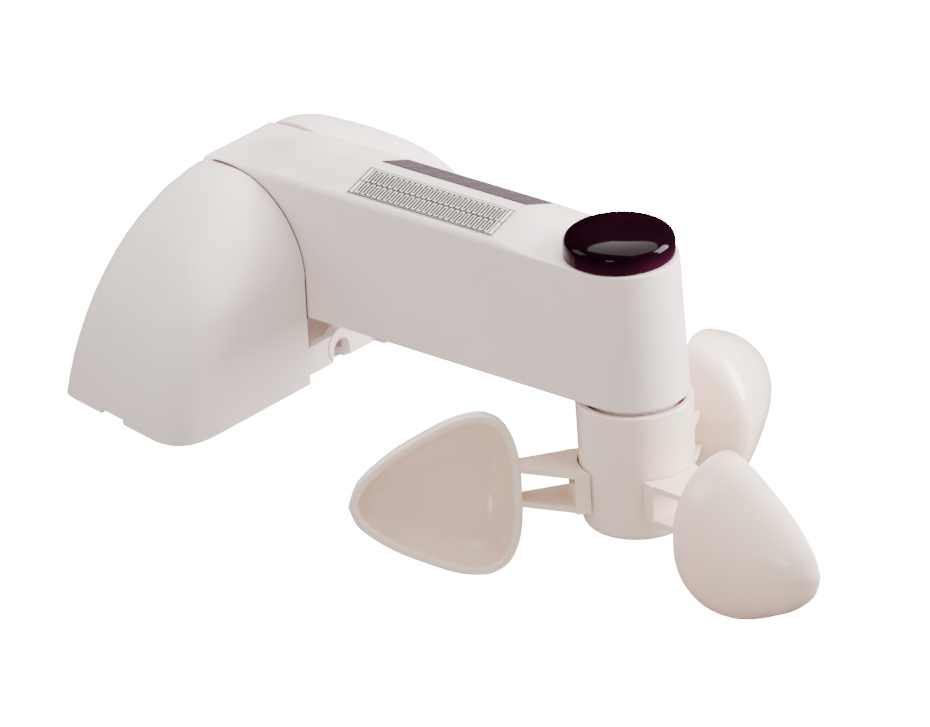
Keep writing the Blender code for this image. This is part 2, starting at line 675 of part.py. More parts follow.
def make_lens():
    base = LENS_BASE_Z
    top = base + LENS_HEIGHT
    outer = [(0.0, top)]
    outer += [(LENS_R * math.sin(t) * 1.0, base + 3.4 * MM + (LENS_HEIGHT - 3.4 * MM) * math.cos(t) ** 0.9)
              for t in [math.pi / 2 * i / 8 for i in range(1, 8)]]
    outer += [(LENS_R, base + 3.2 * MM), (LENS_R, base), (WELL_R - GAP, base), (WELL_R - GAP, base - 3.0 * MM),
              (WELL_R - 1.7 * MM, base - 3.0 * MM), (WELL_R - 1.7 * MM, base + 1.6 * MM),
              (WELL_R - 2.6 * MM, base + 3.6 * MM), (8.0 * MM, base + 5.2 * MM), (0.0, base + 5.6 * MM)]
    return turned("lens", outer, (LENS_X, 0.0, 0.0), DARK_LENS, sides=36)


# ---------------------------------------------------------------- electronics

def make_main_board():
    board = extruded("main_board", [(41.0 * MM, -14.0 * MM), (157.0 * MM, -14.0 * MM), (164.0 * MM, -9.0 * MM),
                                    (164.0 * MM, 9.0 * MM), (157.0 * MM, 14.0 * MM), (41.0 * MM, 14.0 * MM)],
                     MAIN_BOARD_Z, MAIN_BOARD_Z + BOARD_T, "XY", BOARD)
    for x, y in BOARD_POSTS:
        cut(board, cylinder("hole", (x, y, MAIN_BOARD_Z), 1.0 * MM, 8.0 * MM, sides=10))
    return board


def make_electronics():
    top = MAIN_BOARD_Z + BOARD_T + GAP
    box("controller_chip", (70.0 * MM, -6.0 * MM, top), (82.0 * MM, 6.0 * MM, top + 1.4 * MM), CHIP)
    box("radio_chip", (92.0 * MM, 0.0 * MM, top), (100.0 * MM, 8.0 * MM, top + 1.6 * MM), CHIP)
    box("charger_chip", (56.0 * MM, -4.0 * MM, top), (61.0 * MM, 0.0 * MM, top + 1.2 * MM), CHIP)
    cylinder("storage_capacitor", (110.0 * MM, -4.0 * MM, top + 5.0 * MM), 4.0 * MM, 10.0 * MM, CHIP, sides=20)
    box("hall_sensor", (158.0 * MM, -2.0 * MM, MAIN_BOARD_Z - GAP - 1.5 * MM),
        (161.0 * MM, 2.0 * MM, MAIN_BOARD_Z - GAP), CHIP)
    box("board_header", (LENS_X - 2.0 * MM, -11.5 * MM, top),
        (LENS_X + 2.0 * MM, -8.8 * MM, SENSOR_BOARD_Z - GAP), CHIP)
    antenna = bpy.data.curves.new("antenna", "CURVE")
    antenna.dimensions = "3D"
    antenna.bevel_depth = 0.5 * MM
    antenna.bevel_resolution = 1
    antenna.use_fill_caps = True
    spline = antenna.splines.new("POLY")
    route = [(64.0, 10.5, 48.8), (64.0, 10.5, 56.0), (66.0, 10.5, 58.0), (104.0, 10.5, 58.0)]
    spline.points.add(len(route) - 1)
    for point, place in zip(spline.points, route):
        point.co = (place[0] * MM, place[1] * MM, place[2] * MM, 1.0)
    wire = bpy.data.objects.new("antenna", antenna)
    antenna.materials.append(BRASS)
    PARTS.objects.link(wire)


def make_power():
    cell = turned("battery_cell", [(0.0, 33.0 * MM), (3.0 * MM, 33.0 * MM), (3.0 * MM, 32.0 * MM),
                                   (8.6 * MM, 32.0 * MM), (9.1 * MM, 31.4 * MM), (9.1 * MM, -31.6 * MM),
                                   (8.6 * MM, -32.0 * MM), (0.0, -32.0 * MM)],
                  (82.0 * MM, 0.0, 36.2 * MM), CELL, "X", 28)
    box("front_contact", (115.4 * MM, -4.0 * MM, 26.2 * MM), (116.0 * MM, 4.0 * MM, 44.0 * MM), BRASS)
    box("rear_contact", (49.0 * MM, -4.0 * MM, 26.2 * MM), (49.6 * MM, 4.0 * MM, 44.0 * MM), BRASS)
    return cell


def make_sensor_board():
    board = cylinder("sensor_board", (LENS_X, 0.0, SENSOR_BOARD_Z + BOARD_T / 2), 14.4 * MM, BOARD_T, BOARD,
                     sides=36)
    top = SENSOR_BOARD_Z + BOARD_T
    for name, y in (("wind_trimmer", -7.0 * MM), ("sun_trimmer", 7.0 * MM)):
        body = cylinder(name, (LENS_X - 3.0 * MM, y, top + GAP + 1.1 * MM), 3.9 * MM, 2.2 * MM, CHIP, sides=20)
        socket = cylinder("socket", (LENS_X - 3.0 * MM, y, top + 2.4 * MM), 1.8 * MM, 2.6 * MM, sides=16)
        cut(body, socket)
    box("button_switch", (LENS_X + 5.0 * MM, -3.0 * MM, top + GAP), (LENS_X + 11.0 * MM, 3.0 * MM, top + 2.4 * MM),
        CHIP)
    box("light_sensor", (LENS_X - 12.0 * MM, -2.2 * MM, top + GAP), (LENS_X - 8.0 * MM, 2.2 * MM, top + 1.8 * MM),
        CHIP)
    led = turned("status_led", [(0.0, 4.0 * MM), (0.9 * MM, 3.7 * MM), (1.5 * MM, 2.9 * MM), (1.5 * MM, 0.0),
                                (0.0, 0.0)], (LENS_X + 6.0 * MM, 8.5 * MM, top + GAP), LED, sides=16)
    return board, led


def make_controls():
    top = SENSOR_BOARD_Z + BOARD_T
    for name, y in (("wind_dial", -7.0 * MM), ("sun_dial", 7.0 * MM)):
        dial = turned(name, [(0.0, 3.4 * MM), (3.0 * MM, 3.4 * MM), (3.4 * MM, 3.0 * MM), (3.4 * MM, 0.0),
                             (1.6 * MM, 0.0), (1.6 * MM, -1.3 * MM), (0.0, -1.3 * MM)],
                      (LENS_X - 3.0 * MM, y, top + GAP + 2.5 * MM), DIAL, sides=24)
        slot = box("slot", (LENS_X - 3.5 * MM, y - 2.4 * MM, top + GAP + 5.0 * MM),
                   (LENS_X - 2.5 * MM, y + 2.4 * MM, top + 8.0 * MM))
        cut(dial, slot)
    button = turned("setting_button", [(0.0, 2.6 * MM), (1.4 * MM, 2.6 * MM), (1.8 * MM, 2.2 * MM),
                                       (1.8 * MM, 0.0), (0.0, 0.0)],
                    (LENS_X + 8.0 * MM, 0.0, top + 2.4 * MM + 0.6 * MM), BUTTON, sides=20)
    return button


# ---------------------------------------------------------------- rotor

def make_bearings():
    for name, low in (("lower_bearing", 13.3 * MM), ("upper_bearing", 37.6 * MM)):
        middle = low + 1.9 * MM
        ring(name, (ROTOR_X, 0.0, middle), SHAFT_R + 0.05 * MM, BEARING_R - 0.05 * MM, 3.8 * MM, STEEL, sides=28)
    ring("bearing_seal", (ROTOR_X, 0.0, 12.2 * MM), 2.6 * MM, 8.6 * MM, 1.0 * MM, RUBBER, sides=28)


def make_shaft():
    shaft = turned("rotor_shaft", [(0.0, 44.6 * MM), (SHAFT_R, 44.4 * MM), (SHAFT_R, -12.0 * MM),
                                   (1.4 * MM, -12.0 * MM), (1.4 * MM, -18.0 * MM), (0.0, -18.0 * MM)],
                   (ROTOR_X, 0.0, 0.0), STEEL, sides=20)
    wheel = ring("magnet_wheel", (ROTOR_X, 0.0, 42.8 * MM), SHAFT_R + 0.05 * MM, 7.4 * MM, 1.8 * MM, CHIP, sides=28)
    nut = make_nut("shaft_nut", (ROTOR_X, 0.0, -14.4 * MM), 1.46 * MM, 3.2 * MM, 2.4 * MM, "Z")
    return shaft, wheel, nut


def make_hub():
    bottom = HUB_BOTTOM_Z
    low_r = HUB_R - 0.8 * MM
    edge = 4.0 * MM
    profile = [(HUB_R - HUB_WALL, HUB_TOP_Z), (HUB_R - 0.4 * MM, HUB_TOP_Z), (HUB_R, HUB_TOP_Z - 0.4 * MM)]
    profile += arc((low_r - edge, bottom + edge), edge, 0, -90, 5)
    profile += [(15.4 * MM, bottom), (15.4 * MM, bottom + 2.6 * MM), (14.2 * MM, bottom + 2.6 * MM),
                (14.2 * MM, bottom + 4.0 * MM), (HUB_R - 3.0 * MM, bottom + 5.5 * MM), (HUB_R - 3.0 * MM, 1.2 * MM),
                (4.6 * MM, 1.2 * MM), (4.6 * MM, -12.8 * MM), (SHAFT_R + 0.05 * MM, -12.8 * MM),
                (SHAFT_R + 0.05 * MM, 10.8 * MM), (4.6 * MM, 10.8 * MM), (4.6 * MM, 3.6 * MM),
                (HUB_R - HUB_WALL, 3.6 * MM)]
    hub = turned("rotor_hub", profile, (ROTOR_X, 0.0, 0.0), ROTOR_PLASTIC, sides=44)
    for angle in CUP_ANGLES:
        window = box("window", (12.0 * MM, -6.3 * MM, -10.9 * MM), (24.0 * MM, 6.3 * MM, -3.1 * MM))
        place_on_rotor(window, angle)
        cut(hub, window)
    cap = turned("hub_cap", [(0.0, bottom + 2.3 * MM), (15.1 * MM, bottom + 2.3 * MM), (15.1 * MM, bottom + 0.55 * MM),
                             (14.7 * MM, bottom + 0.15 * MM), (0.0, bottom + 0.15 * MM)], (ROTOR_X, 0.0, 0.0), ROTOR_PLASTIC, sides=40)
    return hub, cap


def place_on_rotor(item, angle):
    place = Matrix.Translation(Vector((ROTOR_X, 0.0, 0.0))) @ Matrix.Rotation(math.radians(angle), 4, "Z")
    item.data.transform(place)


def smooth_curve(points, steps):
    """Evenly spread points along a smooth curve through the given ones."""
    fine = []
    for i in range(len(points) - 1):
        before = points[max(i - 1, 0)]
        start, end = points[i], points[i + 1]
        after = points[min(i + 2, len(points) - 1)]
        for k in range(8):
            t = k / 8
            fine.append(tuple(
                0.5 * (2 * q + (r - p) * t + (2 * p - 5 * q + 4 * r - w) * t * t
                       + (3 * q - p - 3 * r + w) * t * t * t)
                for p, q, r, w in zip(before, start, end, after)))
    fine.append(points[-1])
    lengths = [0.0]
    for first, second in zip(fine, fine[1:]):
        lengths.append(lengths[-1] + math.dist(first, second))
    spread = []
    place = 0
    for step in range(steps + 1):
        target = lengths[-1] * step / steps
        while place < len(fine) - 2 and lengths[place + 1] < target:
            place += 1
        t = (target - lengths[place]) / (lengths[place + 1] - lengths[place])
        spread.append(tuple(p + (q - p) * t for p, q in zip(fine[place], fine[place + 1])))
    return spread


def cup_outline(inset):
    """The rim seen from the front: a rounded triangle that points away from the hub."""
    half = smooth_curve([(x * MM, z * MM) for x, z in CUP_RIM], 18)
    full = half + [(x, -z) for x, z in reversed(half[1:-1])]
    points = []
    for i, (x, z) in enumerate(full):
        before = full[i - 1]
        after = full[(i + 1) % len(full)]
        along = Vector((after[0] - before[0], after[1] - before[1])).normalized()
        points.append((x + along.y * inset, z - along.x * inset))
    return points, (CUP_MIDDLE, 0.0)


def cup_surface(inset, depth, rows):
    """Rings from the rim to the deepest ring. Depth runs along -Y, which is the domed side."""
    outline, middle = cup_outline(inset)
    loops = []
    for row in range(rows):
        turn = math.pi / 2 * row / rows
        shrink = math.cos(turn)
        sink = math.sin(turn) * depth
        loops.append([(middle[0] + (x - middle[0]) * shrink, CUP_FORWARD - sink, CUP_Z + z * shrink)
                      for x, z in outline])
    return loops, (middle[0], CUP_FORWARD - depth, CUP_Z)


def make_cup(name, angle):
    shape = bmesh.new()
    outer, outer_pole = cup_surface(0.0, CUP_DEPTH, 9)
    inner, inner_pole = cup_surface(CUP_WALL, CUP_DEPTH - CUP_WALL, 8)
    lip = [[(x, CUP_FORWARD, z) for x, y, z in cup_surface(CUP_LIP, 1.0, 1)[0][0]]]
    under_lip = [[(x, CUP_FORWARD - 2.0 * MM, z) for x, y, z in cup_surface(CUP_WALL, 1.0, 1)[0][0]]]
    loops = list(reversed(inner[1:])) + under_lip + lip + outer
    rings = [[shape.verts.new(point) for point in loop] for loop in loops]
    skin(shape, rings)
    for loop, pole_place in ((rings[0], inner_pole), (rings[-1], outer_pole)):
        pole = shape.verts.new(pole_place)
        for i in range(len(loop)):
            shape.faces.new((loop[i], loop[(i + 1) % len(loop)], pole))
    cup = from_bmesh(name, shape, ROTOR_PLASTIC)
    root = HUB_R - 0.1 * MM
    for low in (STALK_BOTTOM_Z, STALK_TOP_Z - STALK_T):
        taper = [(root, -STALK_ROOT_W / 2), (CUP_INNER - 0.6 * MM, -STALK_TIP_W / 2),
                 (CUP_INNER + 4.0 * MM, -STALK_TIP_W / 2), (CUP_INNER + 4.0 * MM, 0.0),
                 (CUP_INNER + 0.2 * MM, 0.0), (CUP_INNER - 0.6 * MM, STALK_TIP_W / 2 - 1.0 * MM),
                 (root, STALK_ROOT_W / 2)]
        plate = extruded("stalk", taper, low, low + STALK_T, "XY", ROTOR_PLASTIC)
        add(cup, plate)
    flange = box("flange", (13.0 * MM, -STALK_ROOT_W / 2, STALK_BOTTOM_Z),
                 (21.2 * MM, STALK_ROOT_W / 2, STALK_TOP_Z))
    add(cup, flange)
    hub_space = cylinder("hub_space", (0.0, 0.0, CUP_Z), HUB_R + GAP, 60.0 * MM, sides=44)
    tongue = box("tongue", (14.4 * MM, -6.0 * MM, -10.6 * MM), (20.4 * MM, 6.0 * MM, -3.4 * MM))
    cut(cup, hub_space)
    add(cup, tongue)
    place_on_rotor(cup, angle)
    return cup


# ---------------------------------------------------------------- assembly

make_cover("near_cover", -1)
make_cover("far_cover", 1)
make_wall_plate()
make_pivot_parts()
make_washers("near_washer", -1)
make_washers("far_washer", 1)
make_arm_shell()
make_arm_floor()
make_floor_screws()
make_pads()
make_lens()
make_main_board()
make_board_screws()
make_electronics()
make_power()
make_sensor_board()
make_controls()
make_bearings()
make_shaft()
make_hub()
for index, cup_angle in enumerate(CUP_ANGLES, start=1):
    make_cup(f"cup_{index}", cup_angle)
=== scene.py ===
"""Looks of the wind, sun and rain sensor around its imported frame."""

import json
import math

import bmesh
import bpy
from mathutils import Matrix, Vector


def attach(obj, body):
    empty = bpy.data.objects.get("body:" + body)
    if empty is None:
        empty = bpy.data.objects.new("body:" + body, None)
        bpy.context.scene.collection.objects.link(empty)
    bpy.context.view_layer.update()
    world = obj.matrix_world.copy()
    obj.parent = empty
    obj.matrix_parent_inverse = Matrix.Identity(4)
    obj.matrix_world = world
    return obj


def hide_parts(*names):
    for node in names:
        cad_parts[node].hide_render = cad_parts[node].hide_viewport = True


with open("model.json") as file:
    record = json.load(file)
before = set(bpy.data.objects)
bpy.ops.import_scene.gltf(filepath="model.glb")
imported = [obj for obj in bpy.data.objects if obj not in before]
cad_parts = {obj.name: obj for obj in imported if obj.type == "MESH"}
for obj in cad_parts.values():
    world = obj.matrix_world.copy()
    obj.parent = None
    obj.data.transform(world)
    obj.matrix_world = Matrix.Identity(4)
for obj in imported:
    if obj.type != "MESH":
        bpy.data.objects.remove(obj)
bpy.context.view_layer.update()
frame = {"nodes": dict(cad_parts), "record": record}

MM = 0.001
GAP = 0.3 * MM
CUT_SCALE = 100.0
PLAIN_SHARP_ANGLE = math.radians(32)
CUT_SHARP_ANGLE = math.radians(35)

# Base
PIVOT_Z = 37.5 * MM
BASE_FRONT_X = 33.3 * MM
BASE_ROUND_R = 33.5 * MM
BASE_TOP_Z = PIVOT_Z + BASE_ROUND_R
BASE_BACK_X = -31.0 * MM
BASE_BACK_SLOPE = 0.28
COVER_REACH = 57.0 * MM
COVER_TAPER = 0.21
COVER_WALL = 2.2 * MM
SEAM_Y = 18.6 * MM
SEAM_WALL = 2.0 * MM
PLATE_T = 3.0 * MM

# Arm
ARM_HALF_W = 18.0 * MM
ARM_BOTTOM_Z = 23.45 * MM
ARM_FLAT_Z = 70.2 * MM
ARM_RIDGE = 5.7 * MM
RIDGE_HALF_W = 2.7 * MM
ROOF_SLOPE = 0.335
ARM_WALL = 2.2 * MM
TIP_DRAFT = 2.0 / 47.0
ROOT_R = 33.2 * MM
ROOT_LOW_R = 24.0 * MM
CAVITY_START_X = 33.0 * MM

# Pads on the roof
PAD_LENGTH = 60.6 * MM
PAD_CENTRE_X = 81.0 * MM
PAD_WIDTH = 13.4 * MM
PAD_T = 1.2 * MM
PAD_PROUD = 0.2 * MM
PAD_MIDDLE_Y = 9.05 * MM
STRIP_T = 0.10 * MM

# Lens and the controls under it
LENS_X = 151.0 * MM
LENS_R = 18.0 * MM
LENS_BASE_Z = 70.5 * MM
LENS_HEIGHT = 7.4 * MM
WELL_R = 14.9 * MM

# Rotor
ROTOR_X = 154.6 * MM
SHAFT_R = 2.0 * MM
HUB_R = 19.0 * MM
HUB_TOP_Z = 22.0 * MM
HUB_BOTTOM_Z = -22.5 * MM
HUB_WALL = 2.4 * MM
CUP_ANGLES = (226.5, 346.5, 106.5)
CUP_Z = -8.7 * MM
CUP_INNER = 37.2 * MM
CUP_MIDDLE = 46.5 * MM
CUP_FORWARD = 0.8 * MM
CUP_RIM = ((37.2, 0.0), (37.4, 9.6), (39.0, 18.3), (42.4, 24.8), (48.1, 28.1), (54.6, 28.0), (61.6, 26.0),
           (70.6, 21.7), (78.6, 17.3), (85.2, 12.4), (90.6, 6.9), (93.2, 0.0))
CUP_DEPTH = 21.5 * MM
CUP_WALL = 2.0 * MM
CUP_LIP = 2.8 * MM
STALK_TOP_Z = 0.0 * MM
STALK_BOTTOM_Z = -14.0 * MM
STALK_T = 2.0 * MM
STALK_ROOT_W = 20.0 * MM
STALK_TIP_W = 13.0 * MM


# ---------------------------------------------------------------- materials

def start_material(name):
    made = bpy.data.materials.new(name)
    made.use_nodes = True
    tree = made.node_tree
    return made, tree, tree.nodes["Principled BSDF"]


def node(tree, kind, **settings):
    made = tree.nodes.new(kind)
    for key, value in settings.items():
        if key in made.inputs:
            made.inputs[key].default_value = value
        else:
            setattr(made, key, value)
    return made


def noise_node(tree, scale, detail=3.0, roughness=0.55):
    place = tree.nodes.new("ShaderNodeTexCoord")
    made = node(tree, "ShaderNodeTexNoise", Scale=scale, Detail=detail, Roughness=roughness)
    tree.links.new(place.outputs["Object"], made.inputs["Vector"])
    return made.outputs["Fac"]


def span(tree, value, low, high):
    made = node(tree, "ShaderNodeMapRange")
    made.inputs["From Min"].default_value = 0.3
    made.inputs["From Max"].default_value = 0.7
    made.inputs["To Min"].default_value = low
    made.inputs["To Max"].default_value = high
    tree.links.new(value, made.inputs["Value"])
    return made.outputs["Result"]


def two_tone(tree, value, first, second):
    ramp_node = tree.nodes.new("ShaderNodeValToRGB")
    ramp_node.color_ramp.elements[0].position = 0.3
    ramp_node.color_ramp.elements[0].color = (*first, 1.0)
    ramp_node.color_ramp.elements[1].position = 0.7
    ramp_node.color_ramp.elements[1].color = (*second, 1.0)
    tree.links.new(value, ramp_node.inputs["Fac"])
    return ramp_node.outputs["Color"]


def bump(tree, shader, value, strength, distance):
    made = node(tree, "ShaderNodeBump", Strength=strength, Distance=distance)
    tree.links.new(value, made.inputs["Height"])
    tree.links.new(made.outputs["Normal"], shader.inputs["Normal"])


def moulded(name, colour, roughness, change=0.03, grain=0.05, coat=0.0, glow=0.0):
    """Moulded plastic: faint mottling, a fine grain and a roughness that wanders a little."""
    made, tree, shader = start_material(name)
    darker = [part * (1.0 - change) for part in colour]
    mottle = noise_node(tree, 45.0)
    tree.links.new(two_tone(tree, mottle, darker, colour), shader.inputs["Base Color"])
    tree.links.new(span(tree, noise_node(tree, 160.0), roughness - 0.04, roughness + 0.04),
                   shader.inputs["Roughness"])
    shader.inputs["Specular IOR Level"].default_value = 0.4
    shader.inputs["Coat Weight"].default_value = coat
    shader.inputs["Coat Roughness"].default_value = 0.25
    if glow:
        shader.inputs["Subsurface Weight"].default_value = glow
        shader.inputs["Subsurface Radius"].default_value = (1.0, 0.55, 0.35)
        shader.inputs["Subsurface Scale"].default_value = 0.004
    bump(tree, shader, noise_node(tree, 1400.0, 2.0), grain, 0.0002)
    return made


def metal(name, colour, roughness, streaks=(1.0, 1.0, 1.0)):
    """Turned or drawn metal with fine streaks."""
    made, tree, shader = start_material(name)
    place = tree.nodes.new("ShaderNodeTexCoord")
    stretch = tree.nodes.new("ShaderNodeMapping")
    stretch.inputs["Scale"].default_value = streaks
    tree.links.new(place.outputs["Object"], stretch.inputs["Vector"])
    lines = node(tree, "ShaderNodeTexNoise", Scale=700.0, Detail=3.0)
    tree.links.new(stretch.outputs["Vector"], lines.inputs["Vector"])
    darker = [part * 0.8 for part in colour]
    tree.links.new(two_tone(tree, lines.outputs["Fac"], darker, colour), shader.inputs["Base Color"])
    tree.links.new(span(tree, lines.outputs["Fac"], roughness - 0.06, roughness + 0.08),
                   shader.inputs["Roughness"])
    shader.inputs["Metallic"].default_value = 1.0
    bump(tree, shader, lines.outputs["Fac"], 0.08, 0.0001)
    return made


def tinted_lens():
    """Smoked purple acrylic, near black over its crown; the lighter, redder rim is painted light coming
    through the acrylic, over the acrylic's own dark purple tint.
    """
    made, tree, shader = start_material("smoked_lens")
    place = tree.nodes.new("ShaderNodeTexCoord")
    split = tree.nodes.new("ShaderNodeSeparateXYZ")
    tree.links.new(place.outputs["Object"], split.inputs["Vector"])
    height = node(tree, "ShaderNodeMapRange")
    height.inputs["From Min"].default_value = LENS_BASE_Z + 1.2 * MM
    height.inputs["From Max"].default_value = LENS_BASE_Z + 5.2 * MM
    tree.links.new(split.outputs["Z"], height.inputs["Value"])
    # Painted light: the rim colour is lighter and redder than the crown, standing in for light coming
    # through the acrylic's sides.
    rim = two_tone(tree, noise_node(tree, 60.0), (0.020, 0.0022, 0.0095), (0.028, 0.003, 0.013))
    crown_tint = two_tone(tree, noise_node(tree, 90.0), (0.0045, 0.0006, 0.002), (0.006, 0.001, 0.003))
    blend = tree.nodes.new("ShaderNodeMix")
    blend.data_type = "RGBA"
    tree.links.new(height.outputs["Result"], blend.inputs[0])
    tree.links.new(rim, blend.inputs[6])
    tree.links.new(crown_tint, blend.inputs[7])
    tree.links.new(blend.outputs[2], shader.inputs["Base Color"])
    tree.links.new(span(tree, noise_node(tree, 220.0), 0.05, 0.08), shader.inputs["Roughness"])
    shader.inputs["IOR"].default_value = 1.49
    shader.inputs["Specular IOR Level"].default_value = 0.08
    return made


def circuit_board():
    """Green solder mask with faint tracks under it."""
    made, tree, shader = start_material("solder_mask")
    place = tree.nodes.new("ShaderNodeTexCoord")
    tracks = node(tree, "ShaderNodeTexWave", Scale=160.0, Distortion=6.0, Detail=0.0)
    tree.links.new(place.outputs["Object"], tracks.inputs["Vector"])
    tree.links.new(two_tone(tree, tracks.outputs["Fac"], (0.012, 0.085, 0.035), (0.02, 0.14, 0.05)),
                   shader.inputs["Base Color"])
    tree.links.new(span(tree, noise_node(tree, 300.0), 0.25, 0.4), shader.inputs["Roughness"])
    bump(tree, shader, tracks.outputs["Fac"], 0.15, 0.00005)
    return made


def solar_glass():
    """Dark solar cells under a smooth window."""
    made, tree, shader = start_material("solar_window")
    crystals = node(tree, "ShaderNodeTexVoronoi", Scale=420.0)
    place = tree.nodes.new("ShaderNodeTexCoord")
    tree.links.new(place.outputs["Object"], crystals.inputs["Vector"])
    tree.links.new(two_tone(tree, crystals.outputs["Distance"], SOLAR_DARK, SOLAR_LIGHT),
                   shader.inputs["Base Color"])
    tree.links.new(span(tree, noise_node(tree, 120.0), 0.16, 0.24), shader.inputs["Roughness"])
    shader.inputs["Specular IOR Level"].default_value = 0.3
    return made


SOLAR_DARK = (0.094, 0.070, 0.077)
SOLAR_LIGHT = (0.106, 0.079, 0.087)
SHELL = moulded("shell_plastic", (0.83, 0.70, 0.66), 0.42, glow=0.1)
ROTOR_PLASTIC = moulded("rotor_plastic", (0.92, 0.725, 0.60), 0.20, coat=0.4, glow=0.2)
LENS = tinted_lens()
PAD_BASE = moulded("rain_pad_base", (0.86, 0.83, 0.79), 0.30)
PAD_LINES = moulded("rain_pad_lines", (0.060, 0.030, 0.023), 0.4, change=0.25)
# Painted shade: a dark brown colour for the near seam lip, standing in for the shade in the gap between
# the cover and the arm.
PAINTED_SEAM_SHADE = moulded("seam_shadow", (0.16, 0.075, 0.045), 0.7, change=0.2)
SOLAR = solar_glass()
GRID = moulded("solar_grid", (0.075, 0.055, 0.062), 0.4)
BOARD = circuit_board()
CHIP = moulded("component_black", (0.02, 0.02, 0.022), 0.5, change=0.3, grain=0.15)
STEEL = metal("plated_steel", (0.62, 0.61, 0.60), 0.3, (1.0, 1.0, 12.0))
BRASS = metal("brass_strip", (0.75, 0.56, 0.28), 0.3, (12.0, 1.0, 1.0))
RUBBER = moulded("seal_rubber", (0.028, 0.028, 0.028), 0.8, change=0.3, grain=0.3)
CELL = moulded("cell_wrap", (0.04, 0.15, 0.40), 0.32, change=0.08)
DIAL = moulded("dial_plastic", (0.85, 0.82, 0.74), 0.45)
BUTTON = moulded("button_plastic", (0.65, 0.07, 0.05), 0.4)
LED = moulded("led_epoxy", (0.85, 0.86, 0.80), 0.12, glow=0.6)


# ---------------------------------------------------------------- building helpers

def new_object(name, mesh, material):
    item = bpy.data.objects.new(name, mesh)
    bpy.context.scene.collection.objects.link(item)
    mesh.materials.clear()
    mesh.materials.append(material)
    mesh.shade_smooth()
    mesh.set_sharp_from_angle(angle=PLAIN_SHARP_ANGLE)
    return item


def from_bmesh(name, shape, material):
    bmesh.ops.recalc_face_normals(shape, faces=shape.faces)
    mesh = bpy.data.meshes.new(name)
    shape.to_mesh(mesh)
    shape.free()
    return new_object(name, mesh, material)


def bake(item):
    """Replace the object's mesh by its evaluated one, so that later cuts start from real faces."""
    bpy.context.view_layer.update()
    graph = bpy.context.evaluated_depsgraph_get()
    old = item.data
    item.data = bpy.data.meshes.new_from_object(item.evaluated_get(graph))
    item.modifiers.clear()
    bpy.data.meshes.remove(old)
    return item


def combine(item, tool, operation):
    """Cut or join two meshes. They are enlarged for it, so that rounding errors stay small."""
    item.data.transform(Matrix.Scale(CUT_SCALE, 4))
    tool.data.transform(Matrix.Scale(CUT_SCALE, 4))
    join = item.modifiers.new("Boolean", "BOOLEAN")
    join.operation = operation
    join.object = tool
    bake(item)
    item.data.transform(Matrix.Scale(1.0 / CUT_SCALE, 4))
    bpy.data.objects.remove(tool, do_unlink=True)
    item.data.shade_smooth()
    item.data.set_sharp_from_angle(angle=CUT_SHARP_ANGLE)
    return item


def cut(item, *tools):
    for tool in tools:
        combine(item, tool, "DIFFERENCE")
    return item


def add(item, *tools):
    for tool in tools:
        combine(item, tool, "UNION")
    return item


def box(name, low, high, material=SHELL, turn=None):
    shape = bmesh.new()
    bmesh.ops.create_cube(shape, size=1.0)
    size = [b - a for a, b in zip(low, high)]
    middle = Vector([(a + b) / 2 for a, b in zip(low, high)])
    place = Matrix.Translation(middle)
    if turn is not None:
        place = place @ turn
    bmesh.ops.transform(shape, matrix=place @ Matrix.Diagonal((*size, 1.0)), verts=shape.verts)
    return from_bmesh(name, shape, material)


AXES = {"X": Matrix.Rotation(math.pi / 2, 4, "Y"), "Y": Matrix.Rotation(math.pi / 2, 4, "X"),
        "Z": Matrix.Identity(4)}


def cylinder(name, centre, radius, length, material=SHELL, axis="Z", sides=24, top_radius=None):
    shape = bmesh.new()
    bmesh.ops.create_cone(shape, cap_ends=True, segments=sides, radius1=radius,
                          radius2=radius if top_radius is None else top_radius, depth=length)
    place = Matrix.Translation(Vector(centre)) @ AXES[axis]
    bmesh.ops.transform(shape, matrix=place, verts=shape.verts)
    return from_bmesh(name, shape, material)


def turned(name, profile, centre, material, axis="Z", sides=32):
    """Spin a profile of (radius, height) points about an axis through centre."""
    mesh = bpy.data.meshes.new(name)
    points = [(radius, 0.0, height) for radius, height in profile]
    on_axis = profile[0][0] == 0.0
    count = len(points)
    edges = [(i, i + 1) for i in range(count - 1)]
    if not on_axis:
        edges.append((count - 1, 0))
    mesh.from_pydata(points, edges, [])
    item = new_object(name, mesh, material)
    spin = item.modifiers.new("Screw", "SCREW")
    spin.steps = sides
    spin.render_steps = sides
    spin.use_merge_vertices = True
    spin.merge_threshold = 0.00001
    spin.use_smooth_shade = True
    bake(item)
    shape = bmesh.new()
    shape.from_mesh(item.data)
    bmesh.ops.remove_doubles(shape, verts=shape.verts, dist=0.000002)
    bmesh.ops.recalc_face_normals(shape, faces=shape.faces)
    place = Matrix.Translation(Vector(centre)) @ AXES[axis]
    bmesh.ops.transform(shape, matrix=place, verts=shape.verts)
    shape.to_mesh(item.data)
    shape.free()
    item.data.shade_smooth()
    item.data.set_sharp_from_angle(angle=CUT_SHARP_ANGLE)
    return item


def extruded(name, outline, start, end, plane, material=SHELL):
    """A flat outline, thickened between start and end. The plane is XY or XZ."""
    shape = bmesh.new()
    if plane == "XY":
        low = [shape.verts.new((a, b, start)) for a, b in outline]
        high = [shape.verts.new((a, b, end)) for a, b in outline]
    else:
        low = [shape.verts.new((a, start, b)) for a, b in outline]
        high = [shape.verts.new((a, end, b)) for a, b in outline]
    skin(shape, [low, high])
    shape.faces.new(low)
    shape.faces.new(high)
    return from_bmesh(name, shape, material)


def skin(shape, rings):
    """Join consecutive closed rings of vertices by four-sided faces."""
    for first, second in zip(rings, rings[1:]):
        count = len(first)
        for i in range(count):
            j = (i + 1) % count
            shape.faces.new((first[i], first[j], second[j], second[i]))


def ladder(shape, loop):
    """Close a ring whose first half mirrors its second half with four-sided faces."""
    count = len(loop)
    for i in range(count // 2 - 1):
        shape.faces.new((loop[i], loop[i + 1], loop[count - 2 - i], loop[count - 1 - i]))


